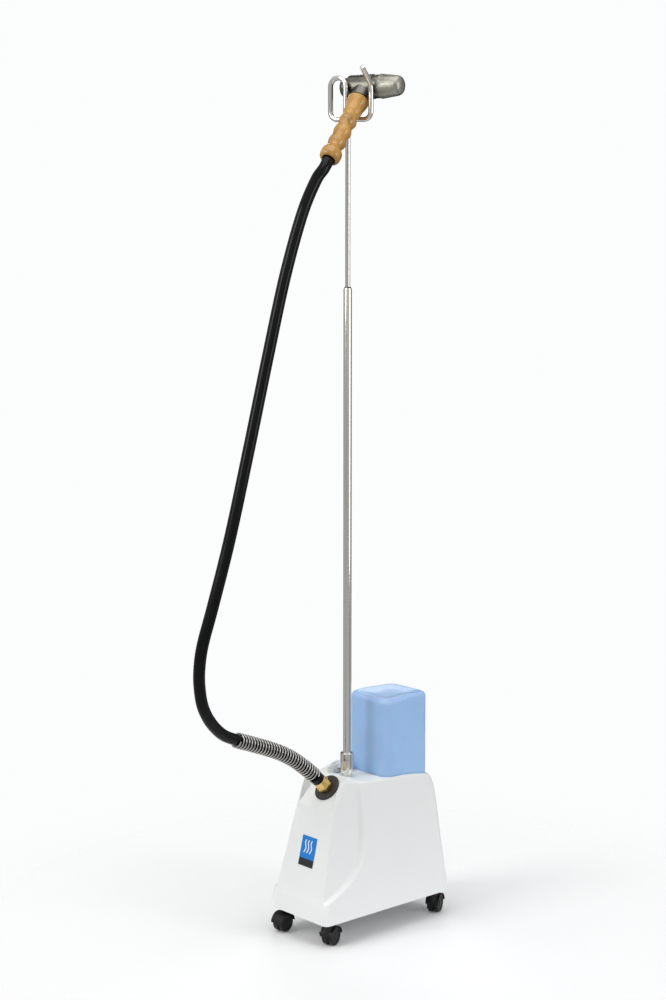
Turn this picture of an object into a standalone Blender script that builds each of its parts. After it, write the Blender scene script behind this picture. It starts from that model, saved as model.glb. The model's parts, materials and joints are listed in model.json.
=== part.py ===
"""Upright garment steamer: wheeled base with boiler and water bottle, telescoping pole, hook, hose and steam head.

Metres, +Z up. -Y is the front of the base, where the hose leaves it. The origin is on the floor, under the
centre of the object's bounding box without its hose.
"""

import math

import bmesh
import bpy
from mathutils import Matrix, Vector

# Base
BASE_LENGTH = 0.328
BASE_WIDTH = 0.166
HOUSING_BOTTOM = 0.048
WALL = 0.003
GAP = 0.0003
SIDE_TAPER = 0.105  # half width lost per metre of height
CORNER_RADIUS = 0.0105
ORIGIN_SHIFT = -0.0045  # the steam head reaches past one side of the base

# Front and rear edges of the housing's side view, from the bottom to the rim, as (y, z).
FRONT_EDGE = [(-0.164, 0.048), (-0.1637, 0.075), (-0.1565, 0.100), (-0.1469, 0.141), (-0.1373, 0.180),
              (-0.1280, 0.220), (-0.1178, 0.2585), (-0.1078, 0.292), (-0.1010, 0.310), (-0.0940, 0.3155)]
REAR_EDGE = [(0.164, 0.048), (0.1646, 0.070), (0.1613, 0.0986), (0.1585, 0.130), (0.1558, 0.161),
             (0.1535, 0.193), (0.1512, 0.2225), (0.1478, 0.254), (0.1412, 0.2775), (0.1335, 0.2885)]
DECK_WAVE = 0.0035  # the deck dips in front of the middle and swells behind it
RIM_ROUND = 0.0028

# Recessed panel on each side, in front of a swept crease
RECESS_DEPTH = 0.0095
CREASE_TOP = (-0.048, 0.309)
CREASE_SWEEP = 0.061
CREASE_POWER = 6
CREASE_DROP = 0.200
CREASE_BLEND = 0.010

# Steam outlet on a slanted facet at the front of the deck
OUTLET = Vector((0.0, -0.0878, 0.2899))
OUTLET_RISE = math.radians(43)
OUTLET_DIR = Vector((0, -math.cos(OUTLET_RISE), math.sin(OUTLET_RISE)))
NOTCH_HALF_WIDTH = 0.049
FLANGE_RADIUS = 0.0275
HOSE_RADIUS = 0.011

# Pole
POLE_Y = -0.0363
POLE_RADIUS = 0.00795
POLE_WALL = 0.0012
ROD_RADIUS = 0.00475
SOCKET_RADIUS = 0.0132
SOCKET_TOP = 0.3515
POLE_BOTTOM = 0.270
POLE_TOP = 1.2546
ROD_BOTTOM = 1.120

# Hook: bent from the rod in a plane turned about the pole
HOOK_TURN = math.radians(17.6)
HOOK_ALONG = Vector((math.cos(HOOK_TURN), math.sin(HOOK_TURN), 0))
HOOK_FORWARD = Vector((math.sin(HOOK_TURN), -math.cos(HOOK_TURN), 0))
HOOK_LEFT, HOOK_MIDDLE, HOOK_RIGHT = -0.0376, -0.0005, 0.0537
HOOK_LAYER = 0.0075  # how far the front strands stand before the pole
HOOK_LOW, HOOK_TOP = 1.5670, 1.6430

# Handset
HEAD_BACK = 0.0215
HEAD_Z = 1.6265
HEAD_TILT = math.radians(1.5)
HANDLE_ALONG = 0.025
HANDLE_LEAN = math.radians(45)
HANDLE_START, HANDLE_END = 0.0335, 0.188  # distances from the head's axis
HEAD_RADIUS = 0.0232
GRIP, GROOVES = (0.0648, 0.1708), 4  # where the finger grooves lie on the handle
BRANCH_RADIUS = 0.0192  # the head's branch that goes into the handle's end

# Bottle
BOTTLE_HALF_WIDTH = 0.0535
BOTTLE_FRONT, BOTTLE_REAR = 0.0140, 0.1320
BOTTLE_TOP = 0.458
BOTTLE_SHOULDER = 0.262
BOTTLE_WALL = 0.0016
BOTTLE_CENTRE = Vector((0, (BOTTLE_FRONT + BOTTLE_REAR) / 2, 0))
NECK_RADIUS = 0.019
CAP_RADIUS = 0.0235
CAP_BOTTOM = 0.206

# Power switch, on a raised pod at the left of the deck whose top leans left and falls towards the front
POD_X, POD_Y = (-0.0548, -0.0285), (-0.0660, 0.0020)
POD_BOTTOM = 0.300
POD_ROUND = 0.0045
POD_LEAN, POD_FALL = math.radians(30), math.radians(5)
POD_NORMAL = Vector((-math.tan(POD_LEAN), -math.tan(POD_FALL), 1)).normalized()
SWITCH_AT = Vector((-0.0415, -0.0320, 0.3190))
SWITCH_PIVOT = SWITCH_AT + POD_NORMAL * 0.0006
ROCKER_TILT = math.radians(8)  # either side of the pod's normal; the front end is pressed in when off

# Supply cord gland in the rear wall
REAR_LEAN = math.atan2(REAR_EDGE[2][0] - REAR_EDGE[3][0], REAR_EDGE[3][1] - REAR_EDGE[2][1])
REAR_NORMAL = Vector((0, math.cos(REAR_LEAN), math.sin(REAR_LEAN)))
GLAND_X, GLAND_Z = -0.035, 0.112
GLAND_AT = Vector((GLAND_X, REAR_EDGE[2][0] - (GLAND_Z - REAR_EDGE[2][1]) * math.tan(REAR_LEAN), GLAND_Z))

# Casters
CASTER_X, CASTER_Y = 0.062, 0.140
WHEEL_RADIUS = 0.018
WHEEL_WIDTH = 0.009
CASTER_TRAIL = 0.011
CASTER_HEADINGS = [280, 110, 117, 300]  # degrees, where each caster's wheels trail

# The hose's route from the outlet cuff to the handle
HOSE_ROUTE = [
    (0.0000, -0.1185, 0.3186), (0.0002, -0.1420, 0.3390), (0.0006, -0.1730, 0.3625), (0.0010, -0.2063, 0.3822),
    (0.0018, -0.2420, 0.3985), (0.0025, -0.2800, 0.4140), (0.0035, -0.3161, 0.4285), (0.0060, -0.3500, 0.4455),
    (0.0105, -0.3810, 0.4745), (0.0156, -0.4030, 0.5090), (0.0211, -0.4145, 0.5480), (0.0270, -0.4190, 0.5855),
    (0.0330, -0.4155, 0.6300), (0.0389, -0.3960, 0.6990), (0.0444, -0.3600, 0.8200), (0.0495, -0.3185, 0.9800),
    (0.0538, -0.2780, 1.1400), (0.0571, -0.2390, 1.2850), (0.0588, -0.2000, 1.3950), (0.0580, -0.1660, 1.4560),
]
HOSE_STEP = 0.040
HOSE_START, CUFF_END = 0.0325, 0.0460  # distances from the facet
HOSE_SPLIT = 0.66  # share of the length where the part that follows the handset begins

MATERIALS = {
    "housing_white": ((0.80, 0.81, 0.80), 0.35, 0.0),
    "black_plastic": ((0.02, 0.02, 0.02), 0.45, 0.0),
    "grey_plastic": ((0.25, 0.25, 0.26), 0.50, 0.0),
    "bottle_blue": ((0.36, 0.55, 0.85), 0.30, 0.0),
    "handle_amber": ((0.62, 0.33, 0.09), 0.35, 0.0),
    "cast_aluminium": ((0.45, 0.45, 0.43), 0.50, 1.0),
    "nickel": ((0.72, 0.70, 0.66), 0.18, 1.0),
    "brass": ((0.66, 0.47, 0.17), 0.30, 1.0),
    "steel": ((0.55, 0.55, 0.56), 0.35, 1.0),
    "rubber_black": ((0.015, 0.015, 0.017), 0.35, 0.0),
    "label_blue": ((0.01, 0.16, 0.55), 0.35, 0.0),
    "switch_white": ((0.72, 0.73, 0.71), 0.30, 0.0),
}


def clear_scene():
    for obj in list(bpy.data.objects):
        bpy.data.objects.remove(obj)


def material(name):
    found = bpy.data.materials.get(name)
    if found:
        return found
    colour, roughness, metallic = MATERIALS[name]
    made = bpy.data.materials.new(name)
    made.use_nodes = True
    shader = made.node_tree.nodes["Principled BSDF"]
    shader.inputs["Base Color"].default_value = (*colour, 1)
    shader.inputs["Roughness"].default_value = roughness
    shader.inputs["Metallic"].default_value = metallic
    return made


def collection(name):
    made = bpy.data.collections.get(name)
    if not made:
        made = bpy.data.collections.new(name)
        bpy.context.scene.collection.children.link(made)
    return made


def parts():
    return collection("garment_steamer")


def cutters():
    made = collection("cutters")
    made.hide_render = True
    return made


def place(name, data, mat, where=(0, 0, 0), direction=None, spin=0.0, smooth=True):
    """Adds data as an object whose +Z points along direction, after a turn of spin about its own Z."""
    obj = bpy.data.objects.new(name, data)
    parts().objects.link(obj)
    obj.parent = bpy.data.objects["steamer"]
    turn = Vector((0, 0, 1)).rotation_difference(Vector(direction or (0, 0, 1))).to_matrix().to_4x4()
    obj.matrix_local = Matrix.Translation(Vector(where)) @ turn @ Matrix.Rotation(spin, 4, "Z")
    data.materials.append(material(mat))
    if smooth and isinstance(data, bpy.types.Mesh):
        data.shade_smooth()
        data.set_sharp_from_angle(angle=math.radians(35))
    return obj


def as_cutter(obj):
    """Makes obj a hidden helper for Boolean modifiers."""
    parts().objects.unlink(obj)
    cutters().objects.link(obj)
    obj.hide_render = True
    obj.display_type = "WIRE"
    return obj


def cut(obj, cutter, operation="DIFFERENCE"):
    modifier = obj.modifiers.new(operation.lower(), "BOOLEAN")
    modifier.operation = operation
    modifier.object = cutter
    modifier.solver = "EXACT"


def from_bmesh(name, mesh):
    bmesh.ops.recalc_face_normals(mesh, faces=mesh.faces)
    data = bpy.data.meshes.new(name)
    mesh.to_mesh(data)
    mesh.free()
    return data


def box(name, mat, size, centre, bevel=0.0, **kw):
    mesh = bmesh.new()
    bmesh.ops.create_cube(mesh, size=1, matrix=Matrix.Diagonal((*size, 1)))
    obj = place(name, from_bmesh(name, mesh), mat, centre, **kw)
    if bevel:
        edge = obj.modifiers.new("edges", "BEVEL")
        edge.width = bevel
        edge.segments = 2
    return obj


def cylinder(name, mat, radius, length, centre, direction=(0, 0, 1), sides=20, bevel=0.0, spin=0.0, top=None):
    mesh = bmesh.new()
    bmesh.ops.create_cone(mesh, cap_ends=True, segments=sides, radius1=radius,
                          radius2=radius if top is None else top, depth=length)
    obj = place(name, from_bmesh(name, mesh), mat, centre, direction, spin)
    if bevel:
        edge = obj.modifiers.new("edges", "BEVEL")
        edge.width = bevel
        edge.segments = 2
        edge.angle_limit = math.radians(40)
    return obj


def turned(name, mat, profile, where=(0, 0, 0), direction=(0, 0, 1), steps=20):
    """A profile of (radius, z) from top to bottom on the outer side, turned about Z. A closed loop makes a tube."""
    data = bpy.data.meshes.new(name)
    closed = profile[0] == profile[-1]
    points = [(r, 0, z) for r, z in (profile[:-1] if closed else profile)]
    edges = [(i, i + 1) for i in range(len(points) - 1)] + ([(len(points) - 1, 0)] if closed else [])
    data.from_pydata(points, edges, [])
    obj = place(name, data, mat, where, direction, smooth=False)
    screw = obj.modifiers.new("turn", "SCREW")
    screw.steps = screw.render_steps = steps
    screw.use_merge_vertices = True
    screw.merge_threshold = 0.00005
    screw.use_smooth_shade = True
    return obj


def ring_profile(outer, inner, low, high, chamfer=0.0):
    c = chamfer
    start = (outer - c, high)
    outside = [start, (outer, high - c), (outer, low + c), (outer - c, low)] if c else [start, (outer, low)]
    return [*outside, (inner, low), (inner, high), start]


def smooth_curve(points, step):
    """Points about step apart on a Catmull-Rom curve through the given points, ends included."""
    knots = [Vector(p) for p in points]
    knots = [2 * knots[0] - knots[1], *knots, 2 * knots[-1] - knots[-2]]
    dense = []
    for a, b, c, d in zip(knots, knots[1:], knots[2:], knots[3:]):
        for n in range(24):
            t = n / 24
            dense.append(0.5 * (2 * b + (c - a) * t + (2 * a - 5 * b + 4 * c - d) * t * t
                                + (3 * b - a - 3 * c + d) * t ** 3))
    dense.append(knots[-2])
    lengths = [0.0]
    for a, b in zip(dense, dense[1:]):
        lengths.append(lengths[-1] + (b - a).length)
    count = max(2, round(lengths[-1] / step))
    found, n = [], 0
    for k in range(count + 1):
        target = lengths[-1] * k / count
        while n < len(lengths) - 2 and lengths[n + 1] < target:
            n += 1
        share = (target - lengths[n]) / max(lengths[n + 1] - lengths[n], 1e-9)
        found.append(dense[n].lerp(dense[n + 1], min(share, 1)))
    return found


def wire(name, mat, points, radius, resolution=2, as_mesh=False):
    curve = bpy.data.curves.new(name, "CURVE")
    curve.dimensions = "3D"
    curve.bevel_depth = radius
    curve.bevel_resolution = resolution
    curve.use_fill_caps = True
    spline = curve.splines.new("POLY")
    spline.points.add(len(points) - 1)
    for point, where in zip(spline.points, points):
        point.co = (*where, 1)
    obj = place(name, curve, mat, smooth=False)
    return meshed(obj) if as_mesh else obj


def meshed(obj):
    """The curve object as a mesh with welded caps, which a Boolean can cut."""
    bpy.context.view_layer.update()
    graph = bpy.context.evaluated_depsgraph_get()
    name, matrix, mat = obj.name, obj.matrix_local.copy(), obj.data.materials[0]
    data = bpy.data.meshes.new_from_object(obj.evaluated_get(graph))
    bpy.data.objects.remove(obj)
    mesh = bmesh.new()
    mesh.from_mesh(data)
    bmesh.ops.remove_doubles(mesh, verts=mesh.verts, dist=0.00001)
    made = place(name, from_bmesh(name, mesh), mat.name)
    made.matrix_local = matrix
    return made


def smoothstep(low, high, value):
    t = min(max((value - low) / (high - low), 0), 1)
    return t * t * (3 - 2 * t)


# ---------------------------------------------------------------- housing


def outline(half_width, front, rear, radius, per_corner, per_side):
    """A rounded rectangle as (x, y, outward x), counter-clockwise from the front right, its right half first."""
    half = []
    for n in range(1, per_corner + 1):
        angle = -math.pi / 2 + n * math.pi / 2 / per_corner
        half.append((half_width - radius + radius * math.cos(angle), front + radius + radius * math.sin(angle),
                     math.cos(angle)))
    for n in range(1, per_side):
        half.append((half_width, front + radius + (rear - front - 2 * radius) * n / per_side, 1.0))
    for n in range(per_corner):
        angle = n * math.pi / 2 / per_corner
        half.append((half_width - radius + radius * math.cos(angle), rear - radius + radius * math.sin(angle),
                     math.cos(angle)))
    ends = [(half_width - radius, front, 0.0)], [(half_width - radius, rear, 0.0)]
    right = ends[0] + half + ends[1]
    return right + [(-x, y, -nx) for x, y, nx in reversed(right)]


def proud_half_width(z):
    return BASE_WIDTH / 2 - SIDE_TAPER * (z - HOUSING_BOTTOM)


def recess(y, z, inset):
    """How far the side is set back in front of the crease. Inside the wall the step comes a little further back."""
    drop = max(CREASE_TOP[1] - z, 0) / CREASE_DROP
    crease = CREASE_TOP[0] - CREASE_SWEEP * drop ** CREASE_POWER + 2 * inset
    depth = RECESS_DEPTH * (1 - 0.5 * smoothstep(0.20, CREASE_TOP[1], z))
    return depth * smoothstep(0, CREASE_BLEND, crease - y)


def housing_ring(level, inset, per_corner, per_side):
    front, rear = FRONT_EDGE[level], REAR_EDGE[level]
    top = len(FRONT_EDGE) - 1
    middle = (front[1] + rear[1]) / 2
    half = proud_half_width(middle) - inset - (RIM_ROUND if level == top else 0)
    ring = []
    y0, y1 = front[0] + inset, rear[0] - inset
    for x, y, nx in outline(half, y0, y1, max(CORNER_RADIUS - inset, 0.004), per_corner, per_side):
        share = (y - y0) / (y1 - y0)
        z = front[1] + (rear[1] - front[1]) * share
        z -= DECK_WAVE * math.sin(2 * math.pi * share) * (level / top) ** 2
        side = proud_half_width(z) - proud_half_width(middle) - recess(y, z, inset)
        ring.append(Vector((x + nx * side, y, z - (inset if level == top else 0))))
    return ring


def housing_solid(name, inset, per_corner, per_side, levels):
    """The housing's outer form set in by inset, as a closed solid."""
    mesh = bmesh.new()
    rings = [housing_ring(level, inset, per_corner, per_side) for level in levels]
    if inset:
        rings[0] = [Vector((p.x, p.y, HOUSING_BOTTOM - 0.01)) for p in rings[0]]
    rows = [[mesh.verts.new(p) for p in ring] for ring in rings]
    count = len(rows[0])
    for low, high in zip(rows, rows[1:]):
        for n in range(count):
            mesh.faces.new((low[n], low[(n + 1) % count], high[(n + 1) % count], high[n]))
    for row in (rows[0], rows[-1]):
        for n in range(count // 2 - 1):
            mesh.faces.new((row[n], row[n + 1], row[count - 2 - n], row[count - 1 - n]))
    return place(name, from_bmesh(name, mesh), "housing_white")


def slanted_box(name, size, centre):
    """A box with its local Z along the outlet's direction."""
    return as_cutter(box(name, "housing_white", size, centre, direction=OUTLET_DIR))


def switch_pod():
    """A low rounded box whose top face holds the switch."""
    mesh = bmesh.new()
    bmesh.ops.create_cube(mesh, size=1)
    for vert in mesh.verts:
        raised = vert.co.z > 0
        draft = 0.0025 if raised else 0.0
        x = POD_X[1] - draft if vert.co.x > 0 else POD_X[0] + draft
        y = POD_Y[1] - draft if vert.co.y > 0 else POD_Y[0] + draft
        lift = (SWITCH_AT.x - x) * POD_NORMAL.x / POD_NORMAL.z + (SWITCH_AT.y - y) * POD_NORMAL.y / POD_NORMAL.z
        vert.co = (x, y, SWITCH_AT.z + lift if raised else POD_BOTTOM)
    pod = place("switch_pod", from_bmesh("switch_pod", mesh), "housing_white")
    edge = pod.modifiers.new("edges", "BEVEL")
    edge.width = POD_ROUND
    edge.segments = 2
    return pod


def build_housing():
    levels = range(len(FRONT_EDGE))
    housing = housing_solid("housing", 0, 4, 24, levels)
    depth = 0.08
    notch = slanted_box("notch_cutter", (2 * NOTCH_HALF_WIDTH, 0.16, depth), OUTLET + OUTLET_DIR * depth / 2)
    cut(housing, notch)
    cut(housing, as_cutter(switch_pod()), "UNION")
    inner = housing_solid("housing_inside", WALL, 4, 24, levels)
    notch_inside = slanted_box("notch_inside_cutter", (0.2, 0.2, depth),
                               OUTLET + OUTLET_DIR * (depth / 2 - WALL))
    cut(inner, notch_inside)
    as_cutter(inner)
    cut(housing, inner)
    well = well_plug("well_cutter", 0.0015, 0.27, 0.35)
    cut(housing, as_cutter(well))
    holes = [
        cylinder("outlet_cutter", "steel", 0.0115, 0.03, OUTLET, OUTLET_DIR),
        cylinder("socket_cutter", "steel", 0.0095, 0.06, (0, POLE_Y, 0.31)),
        box("switch_cutter", "steel", (0.0150, 0.0265, 0.04), SWITCH_AT, direction=POD_NORMAL),
        cylinder("gland_cutter", "steel", 0.0085, 0.04, GLAND_AT, REAR_NORMAL, sides=16),
    ]
    for hole in holes:
        cut(housing, as_cutter(hole))
    return housing


# ---------------------------------------------------------------- bottle and its well


def bottle_outline(z, inset):
    """The bottle's section at a height: a rounded rectangle that closes to the neck below the shoulder."""
    half_x = BOTTLE_HALF_WIDTH - inset
    half_y = (BOTTLE_REAR - BOTTLE_FRONT) / 2 - inset
    corner = 0.016 - inset
    points = []
    for n in range(32):
        angle = 2 * math.pi * (n + 0.5) / 32
        reach = superellipse(angle, half_x, half_y, corner)
        points.append(BOTTLE_CENTRE + Vector((reach * math.cos(angle), reach * math.sin(angle), z)))
    return points


def superellipse(angle, half_x, half_y, corner):
    """Distance from the centre to a rounded rectangle's edge in the given direction."""
    c, s = abs(math.cos(angle)), abs(math.sin(angle))
    flat = min(half_x / max(c, 1e-9), half_y / max(s, 1e-9))
    cx, cy = half_x - corner, half_y - corner
    if c * flat <= cx or s * flat <= cy:
        return flat
    along = cx * c + cy * s
    return along + math.sqrt(max(corner ** 2 - (cx * s - cy * c) ** 2, 0))


def neck_circle(z, radius):
    return [BOTTLE_CENTRE + Vector((radius * math.cos(a), radius * math.sin(a), z))
            for a in (2 * math.pi * (n + 0.5) / 32 for n in range(32))]


def blend_ring(a, b, share):
    return [p.lerp(q, share) for p, q in zip(a, b)]


def skin(mesh, rings):
    rows = [[mesh.verts.new(p) for p in ring] for ring in rings]
    for low, high in zip(rows, rows[1:]):
        for n in range(len(low)):
            m = (n + 1) % len(low)
            mesh.faces.new((low[n], low[m], high[m], high[n]))
    return rows


def well_plug(name, grow, low, high):
    """A straight plug of the bottle's outline, grown by some clearance."""
    mesh = bmesh.new()
    rows = skin(mesh, [bottle_outline(low, -grow), bottle_outline(high, -grow)])
    for row in rows:
        mesh.faces.new(row)
    return place(name, from_bmesh(name, mesh), "housing_white")


def bottle_surface(inset):
    """Rings from the middle of the bottle's base, which is uppermost here, down to the mouth."""
    base_push = 0.006  # the base is pressed in so that the bottle stands when it is upright
    top = BOTTLE_TOP - inset
    centre = [BOTTLE_CENTRE + Vector((0, 0, top - base_push)) for _ in range(32)]
    rim = bottle_outline(top, inset)
    rings = [
        blend_ring(centre, bottle_outline(top - base_push, inset), 0.30),
        blend_ring(centre, bottle_outline(top - base_push * 0.6, inset), 0.62),
        blend_ring([p + Vector((0, 0, base_push)) for p in centre], rim, 0.84),
        blend_ring([p + Vector((0, 0, base_push)) for p in centre], bottle_outline(top - 0.002, inset), 0.94),
        bottle_outline(top - 0.009, inset),
        bottle_outline(BOTTLE_SHOULDER + 0.012, inset),
    ]
    throat = neck_circle(BOTTLE_SHOULDER - 0.022, NECK_RADIUS - inset)
    shoulder = bottle_outline(BOTTLE_SHOULDER, inset)
    rings.append([p.lerp(q, 0.08) for p, q in zip(shoulder, throat)])
    rings.append([Vector((*p.lerp(q, 0.45).xy, BOTTLE_SHOULDER - 0.012 + inset)) for p, q in zip(shoulder, throat)])
    rings.append([Vector((p.x, p.y, BOTTLE_SHOULDER - 0.020 + inset)) for p in throat])
    rings.append(neck_circle(CAP_BOTTOM + 0.006, NECK_RADIUS - inset))
    return rings


def build_bottle():
    mesh = bmesh.new()
    outer = skin(mesh, bottle_surface(0))
    inner = skin(mesh, bottle_surface(BOTTLE_WALL))
    mesh.faces.new(outer[0])
    mesh.faces.new(inner[0])
    for n in range(32):
        m = (n + 1) % 32
        mesh.faces.new((outer[-1][n], outer[-1][m], inner[-1][m], inner[-1][n]))
    place("bottle", from_bmesh("bottle", mesh), "bottle_blue")


def build_cap():
    where = BOTTLE_CENTRE
    top = CAP_BOTTOM + 0.018
    turned("bottle_cap", "black_plastic", [
        (CAP_RADIUS - 0.001, top), (CAP_RADIUS, top - 0.001), (CAP_RADIUS, CAP_BOTTOM + 0.001),
        (CAP_RADIUS - 0.001, CAP_BOTTOM), (0.0060, CAP_BOTTOM), (0.0060, CAP_BOTTOM + 0.003),
        (NECK_RADIUS + GAP, CAP_BOTTOM + 0.003), (NECK_RADIUS + GAP, top), (CAP_RADIUS - 0.001, top)], where)
    turned("cap_gasket", "rubber_black", ring_profile(NECK_RADIUS - GAP, 0.0125, CAP_BOTTOM + 0.0033,
                                                      CAP_BOTTOM + 0.0057), where)
    turned("cap_valve", "brass", [
        (0, CAP_BOTTOM + 0.0098), (0.0110, CAP_BOTTOM + 0.0098), (0.0110, CAP_BOTTOM + 0.0068),
        (0.0045, CAP_BOTTOM + 0.0068), (0.0045, CAP_BOTTOM - 0.0005), (0, CAP_BOTTOM - 0.0005)], where, steps=16)


def build_well():
    """The tub that the inverted bottle stands in, with a deep cup for its cap and a post that opens the valve."""
    mesh = bmesh.new()
    floor = BOTTLE_SHOULDER - 0.0215
    wall = 0.0016

    def tub(inset, low):
        rim = bottle_outline(0.2740, -0.0007 - inset)
        base = bottle_outline(floor + 0.010 - low, -0.0007 - inset)
        cup_top = neck_circle(floor - low, CAP_RADIUS + 0.005 + inset)
        cup_low = neck_circle(CAP_BOTTOM - 0.012 - low, CAP_RADIUS + 0.0035 + inset)
        return [rim, base, cup_top, cup_low]

    inside = skin(mesh, tub(0, 0))
    outside = skin(mesh, tub(wall, wall))
    mesh.faces.new(inside[-1])
    mesh.faces.new(outside[-1])
    for n in range(32):
        m = (n + 1) % 32
        mesh.faces.new((inside[0][n], inside[0][m], outside[0][m], outside[0][n]))
    tub_obj = place("water_well", from_bmesh("water_well", mesh), "grey_plastic")
    drain = cylinder("drain_cutter", "steel", 0.004, 0.03, BOTTLE_CENTRE + Vector((0.015, 0, CAP_BOTTOM - 0.013)),
                     sides=12)
    cut(tub_obj, as_cutter(drain))
    low = CAP_BOTTOM - 0.012 + GAP
    post = turned("valve_post", "grey_plastic", [(0, CAP_BOTTOM - 0.0008), (0.003, CAP_BOTTOM - 0.0008),
                                                 (0.0045, low + 0.002), (0.009, low - 0.001), (0, low - 0.001)],
                  BOTTLE_CENTRE, steps=16)
    cut(tub_obj, as_cutter(post), "UNION")


# ---------------------------------------------------------------- base, boiler and fittings


def build_base_plate():
    """Pressed steel pan: a flange inside the housing's skirt and a flat well between the casters."""
    z = HOUSING_BOTTOM + 0.004
    half, end = BASE_WIDTH / 2 - 0.0045, BASE_LENGTH / 2 - 0.0050

    def plate(name, half_width, half_length, low, high, corner):
        mesh = bmesh.new()
        flat = outline(half_width, -half_length, half_length, corner, 3, 1)
        rows = skin(mesh, [[Vector((x, y, level)) for x, y, _ in flat] for level in (low, high)])
        for row in rows:
            mesh.faces.new(row)
        return place(name, from_bmesh(name, mesh), "steel")

    pan = plate("base_plate", half, end, z, z + 0.002, CORNER_RADIUS - 0.004)
    pressed = plate("pan_press", 0.036, 0.100, z - 0.006, z + 0.001, 0.012)
    cut(pan, as_cutter(pressed), "UNION")
    for sx in (-1, 1):
        for sy in (-1, 1):
            x, y = caster_at(sx, sy)
            cut(pan, as_cutter(cylinder(f"stem_cutter_{sx}_{sy}", "steel", 0.0055, 0.02, (x, y, z), sides=12)))
    return z


def screw_head(name, where, direction):
    return turned(name, "steel", [(0, 0.0024), (0.0026, 0.0020), (0.0036, 0.0008), (0.0036, 0), (0, 0)],
                  where, direction, steps=10)


def build_base_screws(z):
    screw_head("base_screw_front", (0, -0.140, z - GAP), (0, 0, -1))
    screw_head("base_screw_rear", (0, 0.140, z - GAP), (0, 0, -1))


def build_boiler():
    low = HOUSING_BOTTOM + 0.006 + GAP
    tank = box("boiler_tank", "cast_aluminium", (0.108, 0.180, 0.068), (0, -0.012, low + 0.034), bevel=0.010)
    hollow = box("boiler_hollow", "cast_aluminium", (0.098, 0.170, 0.075), (0, -0.012, low + 0.0425), bevel=0.006)
    cut(tank, as_cutter(hollow))
    trim = as_cutter(box("boiler_trim", "cast_aluminium", (0.2, 0.3, 0.04), (0, 0, low + 0.058 + 0.020)))
    cut(tank, trim)
    top = low + 0.058
    gasket = box("boiler_gasket", "rubber_black", (0.106, 0.178, 0.0016), (0, -0.012, top + 0.0008 + GAP))
    cut(gasket, as_cutter(box("gasket_hollow", "rubber_black", (0.096, 0.168, 0.01), (0, -0.012, top))))
    lid_z = top + 0.0016 + 2 * GAP
    lid = box("boiler_lid", "cast_aluminium", (0.108, 0.180, 0.004), (0, -0.012, lid_z + 0.002), bevel=0.001)
    for n, (x, y) in enumerate([(0, STEAM_PORT_Y), (0.015, FEED_Y), (-0.030, -0.060), (0.030, -0.060)]):
        radius = (0.0062, 0.0045, 0.0038, 0.0038)[n]
        cut(lid, as_cutter(cylinder(f"lid_hole_{n}", "steel", radius, 0.02, (x, y, lid_z), sides=16)))
    lid_top = lid_z + 0.004
    for n, (sx, y) in enumerate((sx, y) for sx in (-1, 1) for y in (-0.092, 0.068)):
        cut(lid, as_cutter(screw_head(f"lid_bolt_{n}", (sx * 0.046, y, lid_top - 0.0005), (0, 0, 1))), "UNION")
    build_heater(low, lid_top)
    return lid_top


STEAM_PORT_Y = -0.080
FEED_Y = 0.0635


def build_heater(low, lid_top):
    """A hairpin element that hangs from the lid into the tank."""
    z = low + 0.018
    rise = lid_top + 0.010
    route = [(-0.030, -0.060, rise), (-0.030, -0.060, z + 0.012), (-0.030, -0.052, z), (-0.030, 0.045, z),
             (-0.021, 0.060, z), (0, 0.066, z), (0.021, 0.060, z), (0.030, 0.045, z), (0.030, -0.052, z),
             (0.030, -0.060, z + 0.012), (0.030, -0.060, rise)]
    wire("heating_element", "steel", [Vector(p) for p in route], 0.0034)
    turned("thermostat", "grey_plastic", [(0, 0.012), (0.008, 0.012), (0.008, 0.004), (0.0115, 0.004), (0.0115, 0),
                                          (0, 0)], (0.0, -0.035, lid_top + GAP), steps=20)


def build_steam_path(lid_top):
    start = Vector((0, STEAM_PORT_Y, lid_top - 0.004))
    end = OUTLET - OUTLET_DIR * 0.002
    bend = end - OUTLET_DIR * 0.024
    route = [start, start + Vector((0, 0, 0.040)), Vector((0, STEAM_PORT_Y + 0.004, 0.215)),
             Vector((0, bend.y + 0.004, 0.245)), bend, end]
    wire("steam_pipe", "brass", smooth_curve(route, 0.014), 0.0056, resolution=3)
    feed = BOTTLE_CENTRE + Vector((0.015, 0, 0))
    wire("feed_pipe", "grey_plastic", [Vector((feed.x, feed.y, CAP_BOTTOM - 0.0135)),
                                       Vector((feed.x, FEED_Y, lid_top - 0.003))], 0.0036)


def build_outlet():
    d = OUTLET_DIR
    turned("outlet_flange", "rubber_black", [
        (0.0100, 0.0055), (FLANGE_RADIUS * 0.55, 0.0050), (FLANGE_RADIUS * 0.92, 0.0036), (FLANGE_RADIUS, 0.0018),
        (FLANGE_RADIUS, 0.0), (0.0090, 0.0), (0.0090, 0.0055), (0.0100, 0.0055)], OUTLET + d * GAP, d, 24)
    nut = cylinder("outlet_nut", "brass", 0.0158, 0.0130, OUTLET + d * (0.0062 + 0.0065), d, sides=6, bevel=0.0012)
    tail = cylinder("nut_tail", "brass", 0.0085, 0.014, OUTLET + d * 0.0022, d)
    collar = cylinder("nut_collar", "brass", 0.0136, 0.0140, OUTLET + d * 0.0250, d)
    bore = cylinder("nut_bore", "brass", 0.0066, 0.080, OUTLET + d * 0.010, d, sides=16)
    cut(nut, as_cutter(tail), "UNION")
    cut(nut, as_cutter(collar), "UNION")
    cut(nut, as_cutter(bore))
    cuff = ring_profile(0.0134, HOSE_RADIUS + 0.0006, 0.0323, CUFF_END, 0.0010)
    turned("hose_cuff", "rubber_black", cuff, OUTLET, d)


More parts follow.
